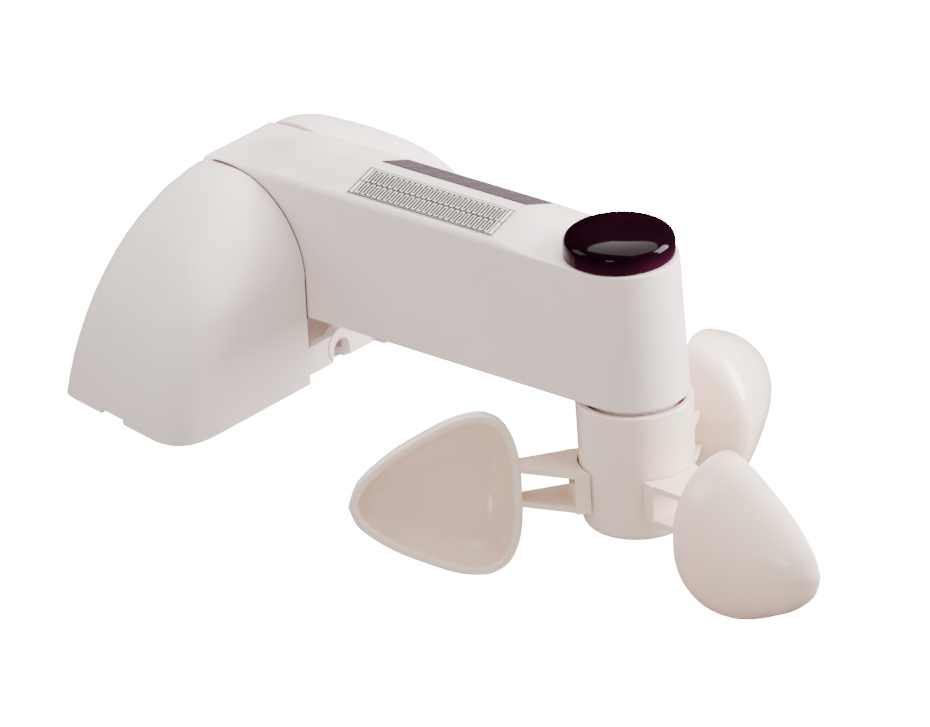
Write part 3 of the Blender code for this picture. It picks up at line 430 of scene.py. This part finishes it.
def arc(centre, radius, start, end, steps):
    points = []
    for i in range(steps + 1):
        angle = math.radians(start + (end - start) * i / steps)
        points.append((centre[0] + radius * math.cos(angle), centre[1] + radius * math.sin(angle)))
    return points


def ramp(value, start, end):
    t = min(1.0, max(0.0, (value - start) / (end - start)))
    return t * t * (3.0 - 2.0 * t)


# ---------------------------------------------------------------- domed covers of the base

def soft_max(a, b, width):
    overlap = max(width - abs(a - b), 0.0) / width
    return max(a, b) + overlap * overlap * width / 4


def cover_field(x, y, z):
    """Below zero inside the cover. y is the distance out from the seam plane."""
    if z > PIVOT_Z:
        front = math.hypot(max(x, 0.0), z - PIVOT_Z) - BASE_ROUND_R
    else:
        front = x - BASE_FRONT_X
    reach = COVER_REACH + COVER_TAPER * x
    dome = (math.hypot(y / reach, z / BASE_TOP_Z) - 1.0) * COVER_REACH
    back = (BASE_BACK_X + BASE_BACK_SLOPE * z - x) / math.hypot(1.0, BASE_BACK_SLOPE)
    corner = (2.0 + 14.0 * ramp(y, 0.0, 35.0 * MM)) * MM
    return soft_max(soft_max(front, dome, corner), back, 7.0 * MM)


def cover_radius(centre_y, direction, wall):
    low, high = 0.0, 0.12
    for _ in range(40):
        middle = (low + high) / 2
        x, y, z = (middle * part for part in direction)
        if cover_field(x, y + centre_y, z) + wall < 0.0:
            low = middle
        else:
            high = middle
    return low


def cover_body(name, centre_y, wall, rows, columns, drop):
    """A quarter-egg solid, built of arches around the line that leads out from the pivot."""
    shape = bmesh.new()
    arches = []
    for row in range(rows):
        tilt = math.pi / 2 * (1.0 - row / rows)
        arch = []
        for column in range(columns + 1):
            turn = math.pi * column / columns
            direction = (math.cos(turn) * math.sin(tilt), math.cos(tilt), math.sin(turn) * math.sin(tilt))
            reach = cover_radius(centre_y, direction, wall)
            arch.append([part * reach for part in direction])
        arch[0][2] = 0.0
        arch[-1][2] = 0.0
        if drop:
            arch = [[arch[0][0], arch[0][1], -drop]] + arch + [[arch[-1][0], arch[-1][1], -drop]]
        arches.append([shape.verts.new((x, -(SEAM_Y + centre_y + y), z)) for x, y, z in arch])
    for first, second in zip(arches, arches[1:]):
        for i in range(len(first) - 1):
            shape.faces.new((first[i], first[i + 1], second[i + 1], second[i]))
    end_y = -(SEAM_Y + centre_y + cover_radius(centre_y, (0.0, 1.0, 0.0), wall))
    pole = shape.verts.new((0.0, end_y, 0.0))
    last = arches[-1]
    if drop:
        low_pole = shape.verts.new((0.0, end_y, -drop))
        for first, second in zip(last[1:-1], last[2:-1]):
            shape.faces.new((first, second, pole))
        shape.faces.new((last[0], last[1], pole, low_pole))
        shape.faces.new((last[-2], last[-1], low_pole, pole))
    else:
        low_pole = pole
        for first, second in zip(last, last[1:]):
            shape.faces.new((first, second, pole))
    foot = [arch[0] for arch in arches] + [low_pole] + [arch[-1] for arch in reversed(arches)]
    floor_middle = shape.verts.new((0.0, -(SEAM_Y + centre_y + 20.0 * MM), -drop))
    seam_middle = shape.verts.new((0.0, -(SEAM_Y + centre_y), 20.0 * MM))
    for i, vertex in enumerate(foot):
        shape.faces.new((vertex, foot[i - 1], floor_middle))
    for i, vertex in enumerate(arches[0]):
        shape.faces.new((vertex, arches[0][i - 1], seam_middle))
    bmesh.ops.triangulate(shape, faces=shape.faces)
    return from_bmesh(name, shape, SHELL)


def bmesh_mirror(item):
    shape = bmesh.new()
    shape.from_mesh(item.data)
    bmesh.ops.scale(shape, vec=(1.0, -1.0, 1.0), verts=shape.verts)
    bmesh.ops.recalc_face_normals(shape, faces=shape.faces)
    shape.to_mesh(item.data)
    shape.free()
    item.data.shade_smooth()
    item.data.set_sharp_from_angle(angle=CUT_SHARP_ANGLE)


def tip_centre(z):
    """The tip leans back a little towards the top, as its mould draft asks."""
    return ROTOR_X - (z - ARM_BOTTOM_Z) * TIP_DRAFT


def crown(x):
    """How much of the roof ridge is there: none over the root's back and none around the lens."""
    return ramp(x, -6.0 * MM, 24.0 * MM) * (1.0 - ramp(x, 112.0 * MM, 133.0 * MM))


def roof_z(x, y):
    fall = ROOF_SLOPE * max(abs(y) - RIDGE_HALF_W, 0.0)
    return ARM_FLAT_Z + crown(x) * (ARM_RIDGE - fall)


def plan_outline(start_x, end_x, half_width, tip_steps=41):
    """Half of it runs out along the near side and round to the tip, and half comes back."""
    stops = [start_x]
    stops += [x * MM for x in range(-8, 150, 2) if x * MM > start_x + 2.2 * MM]
    near = [(x, -half_width) for x in stops if x < end_x - 4 * MM]
    round_end = []
    for i in range(tip_steps + 1):
        angle = -math.pi / 2 + math.pi * i / tip_steps
        round_end.append((end_x + half_width * math.cos(angle), half_width * math.sin(angle)))
    far = [(x, -y) for x, y in reversed(near)]
    return near + round_end + far


def beam(name, start_x, wall, bottom_z, rounding):
    """The arm without its root: upright sides, a round tip and the ridged roof."""
    shape = bmesh.new()
    half = ARM_HALF_W - wall
    side_top = roof_z(60 * MM, ARM_HALF_W) - wall
    levels = [(bottom_z, rounding * 0.3), (bottom_z + rounding * 0.3, 0.0)]
    loops = []
    for z, inset in levels:
        outline = plan_outline(start_x, tip_centre(z), half - inset)
        loops.append([(x, y, z) for x, y in outline])
    for turn in (0.0, 0.2, 0.4, 0.6, 0.8, 1.0):
        angle = turn * math.pi / 2
        loop = []
        for x, y in plan_outline(start_x, tip_centre(side_top), half):
            edge = rounding * (0.2 + 0.8 * (1.0 - ramp(x, 110 * MM, 131 * MM)))
            inset = edge * (1.0 - math.cos(angle))
            centre_x = min(x, tip_centre(side_top))
            away = Vector((x - centre_x, y))
            away = away * (half - inset) / half
            top = roof_z(x, half - edge) - wall
            loop.append((centre_x + away.x, away.y, top - edge * (1.0 - math.sin(angle))))
        loops.append(loop)
    for part in (0.72, 0.45, RIDGE_HALF_W / half):
        loop = []
        for x, y in plan_outline(start_x, tip_centre(side_top), half):
            centre_x = min(x, tip_centre(side_top))
            away_x = (x - centre_x) * part
            if x == start_x:
                away_x = (1.0 - part) * 2.0 * MM
            loop.append((centre_x + away_x, y * part, roof_z(x, y * part) - wall))
        loops.append(loop)
    rings = [[shape.verts.new(point) for point in loop] for loop in loops]
    skin(shape, rings)
    ladder(shape, rings[0])
    ladder(shape, rings[-1])
    bmesh.ops.triangulate(shape, faces=shape.faces)
    return from_bmesh(name, shape, SHELL)


def root_outline(wall):
    """Side view of the arm's root, around the pivot."""
    top_r = ROOT_R - wall
    low_r = ROOT_LOW_R - wall
    back_lean = BASE_BACK_SLOPE
    top_back = arc((0.0, PIVOT_Z), top_r, 60, 104, 12)
    corner = top_back[-1]
    down = corner[1] - (PIVOT_Z - 14.0 * MM)
    foot = (corner[0] - back_lean * down, PIVOT_Z - 14.0 * MM)
    start = math.degrees(math.atan2(foot[1] - PIVOT_Z, foot[0]))
    low = arc((0.0, PIVOT_Z), low_r, start + 360 + 14, 322, 10)
    return top_back + [(corner[0] - 1.2 * MM, corner[1] - 2.0 * MM), foot] + low


def pad_block(name, side, length, width, low, high, material=SHELL):
    """A flat block lying on one slope of the roof, from low to high above the slope."""
    angle = math.atan(ROOF_SLOPE)
    slope_z = ARM_FLAT_Z + ARM_RIDGE - ROOF_SLOPE * (PAD_MIDDLE_Y - RIDGE_HALF_W)
    lift = (low + high) / 2
    centre_y = side * (PAD_MIDDLE_Y + lift * math.sin(angle))
    centre = Vector((PAD_CENTRE_X, centre_y, slope_z + lift * math.cos(angle)))
    turn = Matrix.Rotation(-side * angle, 4, "X")
    half = Vector((length / 2, width / 2, (high - low) / 2))
    return box(name, centre - half, centre + half, material, turn)


def place_on_rotor(item, angle):
    place = Matrix.Translation(Vector((ROTOR_X, 0.0, 0.0))) @ Matrix.Rotation(math.radians(angle), 4, "Z")
    item.data.transform(place)


def smooth_curve(points, steps):
    """Evenly spread points along a smooth curve through the given ones."""
    fine = []
    for i in range(len(points) - 1):
        before = points[max(i - 1, 0)]
        start, end = points[i], points[i + 1]
        after = points[min(i + 2, len(points) - 1)]
        for k in range(8):
            t = k / 8
            fine.append(tuple(
                0.5 * (2 * q + (r - p) * t + (2 * p - 5 * q + 4 * r - w) * t * t
                       + (3 * q - p - 3 * r + w) * t * t * t)
                for p, q, r, w in zip(before, start, end, after)))
    fine.append(points[-1])
    lengths = [0.0]
    for first, second in zip(fine, fine[1:]):
        lengths.append(lengths[-1] + math.dist(first, second))
    spread = []
    place = 0
    for step in range(steps + 1):
        target = lengths[-1] * step / steps
        while place < len(fine) - 2 and lengths[place + 1] < target:
            place += 1
        t = (target - lengths[place]) / (lengths[place + 1] - lengths[place])
        spread.append(tuple(p + (q - p) * t for p, q in zip(fine[place], fine[place + 1])))
    return spread


def cup_outline(inset):
    """The rim seen from the front: a rounded triangle that points away from the hub."""
    half = smooth_curve([(x * MM, z * MM) for x, z in CUP_RIM], 48)
    full = half + [(x, -z) for x, z in reversed(half[1:-1])]
    points = []
    for i, (x, z) in enumerate(full):
        before = full[i - 1]
        after = full[(i + 1) % len(full)]
        along = Vector((after[0] - before[0], after[1] - before[1])).normalized()
        points.append((x + along.y * inset, z - along.x * inset))
    return points, (CUP_MIDDLE, 0.0)


def cup_surface(inset, depth, rows):
    """Rings from the rim to the deepest ring. Depth runs along -Y, which is the domed side."""
    outline, middle = cup_outline(inset)
    loops = []
    for row in range(rows):
        turn = math.pi / 2 * row / rows
        shrink = math.cos(turn)
        sink = math.sin(turn) * depth
        loops.append([(middle[0] + (x - middle[0]) * shrink, CUP_FORWARD - sink, CUP_Z + z * shrink)
                      for x, z in outline])
    return loops, (middle[0], CUP_FORWARD - depth, CUP_Z)


# ---------------------------------------------------------------- visible shells

def finish_piece(item, body, slot, *replaced):
    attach(item, body)
    if replaced:
        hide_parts(*replaced)
    return item


def make_cover(name, side):
    """A finer version of the clip-on cover, with the same wall and slots."""
    cover = cover_body(name, 0.0, 0.0, 40, 72, 0.0)
    cavity = cover_body("cavity", SEAM_WALL, COVER_WALL, 16, 30, 1.0 * MM)
    seam_inside = -(SEAM_Y + SEAM_WALL + 0.5 * MM)
    seam_outside = -(SEAM_Y - 1.0 * MM)
    slot = box("slot", (-9.0 * MM, seam_inside, -1.0 * MM), (9.0 * MM, seam_outside, PIVOT_Z))
    eye = cylinder("eye", (0.0, (seam_inside + seam_outside) / 2, PIVOT_Z), 9.0 * MM,
                   seam_outside - seam_inside, axis="Y", sides=48)
    plate_slot = box("plate_slot", (-28.4 * MM, seam_inside, -1.0 * MM),
                     (31.1 * MM, seam_outside, PLATE_T + 0.4 * MM))
    notch = box("notch", (-8.8 * MM, -0.09, -1.7 * MM), (2.6 * MM, -0.069, 1.6 * MM))
    cut(cover, notch, cavity, slot, eye, plate_slot)
    if side > 0:
        bmesh_mirror(cover)
    return cover


def make_seam(name, side, material):
    """The narrow lip that closes the gap between a cover's edge and the arm."""
    lip = 0.12 * MM
    outer = [(BASE_FRONT_X + lip, ARM_BOTTOM_Z)]
    outer += arc((BASE_FRONT_X - BASE_ROUND_R, PIVOT_Z), BASE_ROUND_R + lip, 0, 96, 40)
    inner = arc((BASE_FRONT_X - BASE_ROUND_R, PIVOT_Z), BASE_ROUND_R - 2.4 * MM, 96, 0, 40)
    inner += [(BASE_FRONT_X - 2.4 * MM, ARM_BOTTOM_Z)]
    low, high = sorted((side * (ARM_HALF_W + 0.12 * MM), side * (SEAM_Y - 0.04 * MM)))
    return extruded(name, outer + inner, low, high, "XZ", material)


def make_arm():
    """The arm's outer shell with its root, pad pockets and lens seat."""
    shell = beam("arm_housing", -9.0 * MM, 0.0, ARM_BOTTOM_Z, 2.6 * MM)
    root = extruded("root", root_outline(0.9 * MM), -ARM_HALF_W + 0.2 * MM, ARM_HALF_W - 0.2 * MM, "XZ")
    for side in (-1, 1):
        cut(shell, pad_block("pocket", side, PAD_LENGTH + 0.5 * MM, PAD_WIDTH + 0.5 * MM,
                             -(PAD_T - PAD_PROUD) - GAP, 3.0 * MM))
    add(shell, root)
    hollow = beam("hollow", CAVITY_START_X, ARM_WALL, ARM_BOTTOM_Z - 2 * MM, 1.0 * MM)
    root_hollow = extruded("root_hollow", root_outline(3.0 * MM), -15.4 * MM, 15.4 * MM, "XZ")
    passage = box("passage", (10.0 * MM, -14.6 * MM, 28.0 * MM), (36.0 * MM, 14.6 * MM, 64.0 * MM))
    cut(shell, hollow, root_hollow, passage)
    bore = cylinder("bore", (0.0, 0.0, PIVOT_Z), 3.2 * MM, 50.0 * MM, axis="Y", sides=32)
    cut(shell, bore)
    mouth = cylinder("mouth", (LENS_X, 0.0, 69.0 * MM), 16.2 * MM, 6.0 * MM, sides=72)
    well = turned("well", [(WELL_R, 69.3 * MM), (17.0 * MM, 69.3 * MM), (17.0 * MM, 60.9 * MM),
                           (12.5 * MM, 60.9 * MM), (12.5 * MM, 62.2 * MM), (WELL_R, 62.2 * MM)],
                  (LENS_X, 0.0, 0.0), SHELL, sides=72)
    cut(shell, mouth)
    add(shell, well)
    return shell


def make_hub():
    """The rotor's drum, with a window for each cup's tongue."""
    bottom = HUB_BOTTOM_Z
    low_r = HUB_R - 0.8 * MM
    edge = 4.0 * MM
    profile = [(HUB_R - HUB_WALL, HUB_TOP_Z - 0.3 * MM)]
    profile += [(HUB_R - HUB_WALL + 0.3 * MM, HUB_TOP_Z)]
    profile += arc((HUB_R - 0.5 * MM, HUB_TOP_Z - 0.5 * MM), 0.5 * MM, 90, 0, 4)
    profile += arc((low_r - edge, bottom + edge), edge, 0, -80, 10)
    boss_r = 4.6 * MM
    bore_r = SHAFT_R + 0.05 * MM
    low_inside_r = HUB_R - 3.0 * MM
    profile += [(15.3 * MM, bottom + 0.1 * MM), (15.2 * MM, bottom + 2.6 * MM)]
    profile += [(14.2 * MM, bottom + 2.6 * MM), (14.2 * MM, bottom + 4.0 * MM)]
    profile += [(low_inside_r, bottom + 5.5 * MM), (low_inside_r, 1.2 * MM)]
    profile += [(boss_r, 1.2 * MM), (boss_r, -12.8 * MM), (bore_r, -12.8 * MM)]
    profile += [(bore_r, 10.8 * MM), (boss_r, 10.8 * MM), (boss_r, 3.6 * MM)]
    profile += [(HUB_R - HUB_WALL, 3.6 * MM)]
    hub = turned("rotor_drum", profile, (ROTOR_X, 0.0, 0.0), ROTOR_PLASTIC, sides=112)
    for angle in CUP_ANGLES:
        window = box("window", (12.0 * MM, -6.3 * MM, -10.9 * MM), (24.0 * MM, 6.3 * MM, -3.1 * MM))
        place_on_rotor(window, angle)
        cut(hub, window)
    return hub


def make_cup(name, angle):
    """A half-egg cup with a rounded lip, on its two stalk plates."""
    shape = bmesh.new()
    outer, outer_pole = cup_surface(0.0, CUP_DEPTH, 26)
    inner, inner_pole = cup_surface(CUP_WALL, CUP_DEPTH - CUP_WALL, 24)
    lips = []
    for inset, sink in ((CUP_LIP + 0.15 * MM, 0.7 * MM), (CUP_LIP, 0.25 * MM), (CUP_LIP - 0.4 * MM, 0.0),
                        (0.6 * MM, 0.0), (0.2 * MM, 0.2 * MM)):
        rim = cup_surface(inset, 1.0, 1)[0][0]
        lips.append([(x, CUP_FORWARD - sink, z) for x, y, z in rim])
    under_lip = [[(x, CUP_FORWARD - 2.2 * MM, z) for x, y, z in cup_surface(CUP_WALL, 1.0, 1)[0][0]]]
    outer[0] = [(x, CUP_FORWARD - 0.6 * MM, z) for x, y, z in outer[0]]
    loops = list(reversed(inner[2:])) + under_lip + lips + outer
    rings = [[shape.verts.new(point) for point in loop] for loop in loops]
    skin(shape, rings)
    for loop, pole_place in ((rings[0], inner_pole), (rings[-1], outer_pole)):
        pole = shape.verts.new(pole_place)
        for i in range(len(loop)):
            shape.faces.new((loop[i], loop[(i + 1) % len(loop)], pole))
    cup = from_bmesh(name, shape, ROTOR_PLASTIC)
    root = HUB_R - 0.1 * MM
    for low in (STALK_BOTTOM_Z, STALK_TOP_Z - STALK_T):
        taper = [(root, -STALK_ROOT_W / 2), (CUP_INNER + 1.0 * MM, -STALK_TIP_W / 2),
                 (CUP_INNER + 1.3 * MM, -STALK_TIP_W / 2 + 2.5 * MM),
                 (CUP_INNER + 1.3 * MM, 0.0), (CUP_INNER + 0.5 * MM, CUP_FORWARD),
                 (root, STALK_ROOT_W / 2)]
        add(cup, extruded("stalk", taper, low, low + STALK_T, "XY", ROTOR_PLASTIC))
    flange = box("flange", (13.0 * MM, -STALK_ROOT_W / 2, STALK_BOTTOM_Z),
                 (21.2 * MM, STALK_ROOT_W / 2, STALK_TOP_Z))
    add(cup, flange)
    hub_space = cylinder("hub_space", (0.0, 0.0, CUP_Z), HUB_R + 0.15 * MM, 60.0 * MM, sides=112)
    tongue = box("tongue", (14.4 * MM, -6.0 * MM, -10.6 * MM), (20.4 * MM, 6.0 * MM, -3.4 * MM))
    cut(cup, hub_space)
    add(cup, tongue)
    place_on_rotor(cup, angle)
    return cup


def make_lens():
    """The pillow-shaped dome, with the skirt that sits in the well."""
    base = LENS_BASE_Z
    wall = 3.6 * MM
    height = LENS_HEIGHT + 1.6 * MM
    fullness = 2 / 2.9
    outer = [(0.0, base + height)]
    for i in range(1, 33):
        angle = math.pi / 2 * (i / 33) ** 1.4
        reach = math.sin(angle) ** fullness
        rise = math.cos(angle) ** fullness
        outer.append((LENS_R * reach, base + wall + (height - wall) * rise))
    outer += [(LENS_R, base + wall), (LENS_R, base + 0.3 * MM), (LENS_R - 0.3 * MM, base),
              (WELL_R - GAP, base), (WELL_R - GAP, base - 3.0 * MM), (WELL_R - 1.7 * MM, base - 3.0 * MM),
              (WELL_R - 1.7 * MM, base + 1.6 * MM), (WELL_R - 2.6 * MM, base + 3.6 * MM),
              (8.0 * MM, base + 5.2 * MM), (0.0, base + 5.6 * MM)]
    return turned("lens_dome", outer, (LENS_X, 0.0, 0.0), LENS, sides=112)


def strips(name, side, material, cells):
    """Thin raised strips on one pad. Each cell is (low x, low y, high x, high y) on the pad."""
    angle = math.atan(ROOF_SLOPE)
    slope_z = ARM_FLAT_Z + ARM_RIDGE - ROOF_SLOPE * (PAD_MIDDLE_Y - RIDGE_HALF_W)
    shape = bmesh.new()
    turn = Matrix.Rotation(-side * angle, 4, "X")
    for low_x, low_y, high_x, high_y in cells:
        made = bmesh.ops.create_cube(shape, size=1.0)
        size = Matrix.Diagonal((high_x - low_x, high_y - low_y, STRIP_T, 1.0))
        local = Matrix.Translation(((low_x + high_x) / 2, (low_y + high_y) / 2, PAD_PROUD))
        place = Matrix.Translation((PAD_CENTRE_X, side * PAD_MIDDLE_Y, slope_z)) @ turn
        bmesh.ops.transform(shape, matrix=place @ local @ size, verts=made["verts"])
    return from_bmesh(name, shape, material)


def rain_cells():
    """Two rows of close crosswise lines with a border, as on an interleaved comb sensor."""
    cells = []
    count = 47
    half_l = PAD_LENGTH / 2
    half_w = PAD_WIDTH / 2
    length = PAD_LENGTH - 5.6 * MM
    pitch = length / count
    half_bar = 0.34 * pitch
    shortfall = 0.8 * MM
    rail = 0.35 * MM
    row_w = half_w - 1.0 * MM
    for row in range(2):
        low = -half_w + 0.95 * MM + row * (row_w + 0.1 * MM)
        for i in range(count):
            x = -length / 2 + pitch * (i + 0.5)
            first = 0.0 if i % 2 else shortfall
            last = shortfall if i % 2 else 0.0
            cells.append((x - half_bar, low + first, x + half_bar, low + row_w - last))
        for end in (low, low + row_w - rail):
            cells.append((-length / 2, end, length / 2, end + rail))
    edge = 0.15 * MM
    line = 0.5 * MM
    end_cell = 1.9 * MM
    cells.append((-half_l + edge, -half_w + edge, half_l - edge, -half_w + edge + 1.3 * line))
    cells.append((-half_l + edge, half_w - edge - line / 2, half_l - edge, half_w - edge))
    for x in (-half_l + edge, half_l - edge - line, -half_l + end_cell, half_l - end_cell - line):
        cells.append((x, -half_w + edge + 1.3 * line, x + line, half_w - edge - line / 2))
    for x in (-half_l + edge + line, half_l - end_cell):
        cells.append((x, -0.2 * MM, x + 1.4 * MM, 0.2 * MM))
    return cells


def solar_cells():
    """Fine lines between the solar strip's cells."""
    cells = []
    count = 8
    half_line = 0.08 * MM
    half_w = PAD_WIDTH / 2 - 0.8 * MM
    for i in range(1, count):
        x = -PAD_LENGTH / 2 + PAD_LENGTH * i / count
        cells.append((x - half_line, -half_w, x + half_line, half_w))
    return cells


for side, name, replaced in ((-1, "near_cover_shell", "near_cover"), (1, "far_cover_shell", "far_cover")):
    finish_piece(make_cover(name, side), "base", "shell", replaced)
finish_piece(make_arm(), "arm", "shell", "arm_shell")
# The near lip is coloured with painted shade; the far lip keeps the shell's own colour.
finish_piece(make_seam("near_seam", -1, PAINTED_SEAM_SHADE), "base", "shell")
finish_piece(make_seam("far_seam", 1, SHELL), "base", "shell")
finish_piece(make_hub(), "rotor", "rotor", "rotor_hub")
for index, cup_angle in enumerate(CUP_ANGLES, start=1):
    finish_piece(make_cup(f"cup_shell_{index}", cup_angle), "rotor", "rotor", f"cup_{index}")
finish_piece(make_lens(), "lens_cap", "lens", "lens")
finish_piece(strips("rain_pad_comb", -1, PAD_LINES, rain_cells()), "arm", "rain_grid")
finish_piece(strips("solar_grid_lines", 1, GRID, solar_cells()), "arm", "solar")

BY_SLOT = {"shell": SHELL, "rotor": ROTOR_PLASTIC, "lens": LENS, "rain_grid": PAD_BASE, "solar": SOLAR,
           "board": BOARD, "component": CHIP, "steel": STEEL, "brass": BRASS, "seal": RUBBER, "cell": CELL,
           "dial": DIAL, "button": BUTTON, "led": LED}
for entry in frame["record"]["subparts"]:
    carried = frame["nodes"][entry["node"]]
    for place in carried.material_slots:
        place.material = BY_SLOT[entry["material_slot"]]


# ---------------------------------------------------------------- floor, light and camera

def make_floor():
    shape = bmesh.new()
    bmesh.ops.create_grid(shape, x_segments=1, y_segments=1, size=6.0)
    bmesh.ops.translate(shape, vec=(0.0, 0.0, FLOOR_Z), verts=shape.verts)
    material, tree, shader = start_material("pale_floor")
    shader.inputs["Base Color"].default_value = (0.9, 0.9, 0.9, 1.0)
    shader.inputs["Roughness"].default_value = 0.9
    shader.inputs["Emission Color"].default_value = (1.0, 1.0, 1.0, 1.0)
    shader.inputs["Emission Strength"].default_value = FLOOR_GLOW
    floor = from_bmesh("studio_floor", shape, material)
    floor.visible_diffuse = False
    floor.visible_glossy = False


def make_area(name, place, target, size, power, colour=(1.0, 1.0, 1.0)):
    data = bpy.data.lights.new(name, "AREA")
    data.shape = "RECTANGLE"
    data.size = size[0]
    data.size_y = size[1]
    data.energy = power
    data.color = colour
    item = bpy.data.objects.new(name, data)
    bpy.context.scene.collection.objects.link(item)
    item.location = place
    aim = Vector(target) - Vector(place)
    item.rotation_euler = aim.to_track_quat("-Z", "Y").to_euler()
    return item


def make_world(strength, colour):
    world = bpy.data.worlds.new("studio")
    bpy.context.scene.world = world
    world.use_nodes = True
    background = world.node_tree.nodes["Background"]
    background.inputs["Color"].default_value = (*colour, 1.0)
    background.inputs["Strength"].default_value = strength


def make_camera():
    azimuth = math.radians(41.17)
    elevation = math.radians(25.16)
    roll = math.radians(2.965)
    distance = 3.055
    target = Vector((0.080, 0.0, 0.020))
    back = Vector((math.sin(azimuth) * math.cos(elevation), -math.cos(azimuth) * math.cos(elevation),
                   math.sin(elevation)))
    right = Vector((math.cos(azimuth), math.sin(azimuth), 0.0))
    up = back.cross(right)
    rolled_right = right * math.cos(roll) - up * math.sin(roll)
    rolled_up = right * math.sin(roll) + up * math.cos(roll)
    data = bpy.data.cameras.new("camera")
    data.sensor_width = 36.0
    data.lens = 366.5
    data.shift_x = 0.0112
    data.shift_y = -0.0220
    data.clip_end = 50.0
    camera = bpy.data.objects.new("camera", data)
    bpy.context.scene.collection.objects.link(camera)
    spin = Matrix((rolled_right, rolled_up, back)).transposed().to_4x4()
    camera.matrix_world = Matrix.Translation(target + back * distance) @ spin
    bpy.context.scene.camera = camera


FLOOR_Z = -0.30
FLOOR_GLOW = 18.0
make_floor()
make_world(0.92, (1.0, 0.965, 0.95))
bpy.context.scene.world.cycles_visibility.glossy = False
# name, place, what it points at, size, power, colour
make_area("top_soft_box", (0.1, 0.5, 1.6), (0.08, 0.0, 0.0), (2.2, 1.5), 72.0)
make_area("left_soft_box", (-1.4, -1.0, 1.0), (0.05, 0.0, 0.02), (1.0, 1.0), 16.0, (1.0, 0.98, 0.96))
make_area("right_soft_box", (1.05, 1.0, 0.45), (0.15, 0.0, 0.0), (0.8, 1.0), 92.0)
make_area("front_soft_box", (0.75, -1.6, 0.45), (0.20, 0.0, 0.0), (0.5, 0.5), 9.0, (1.0, 0.98, 0.96))
make_camera()
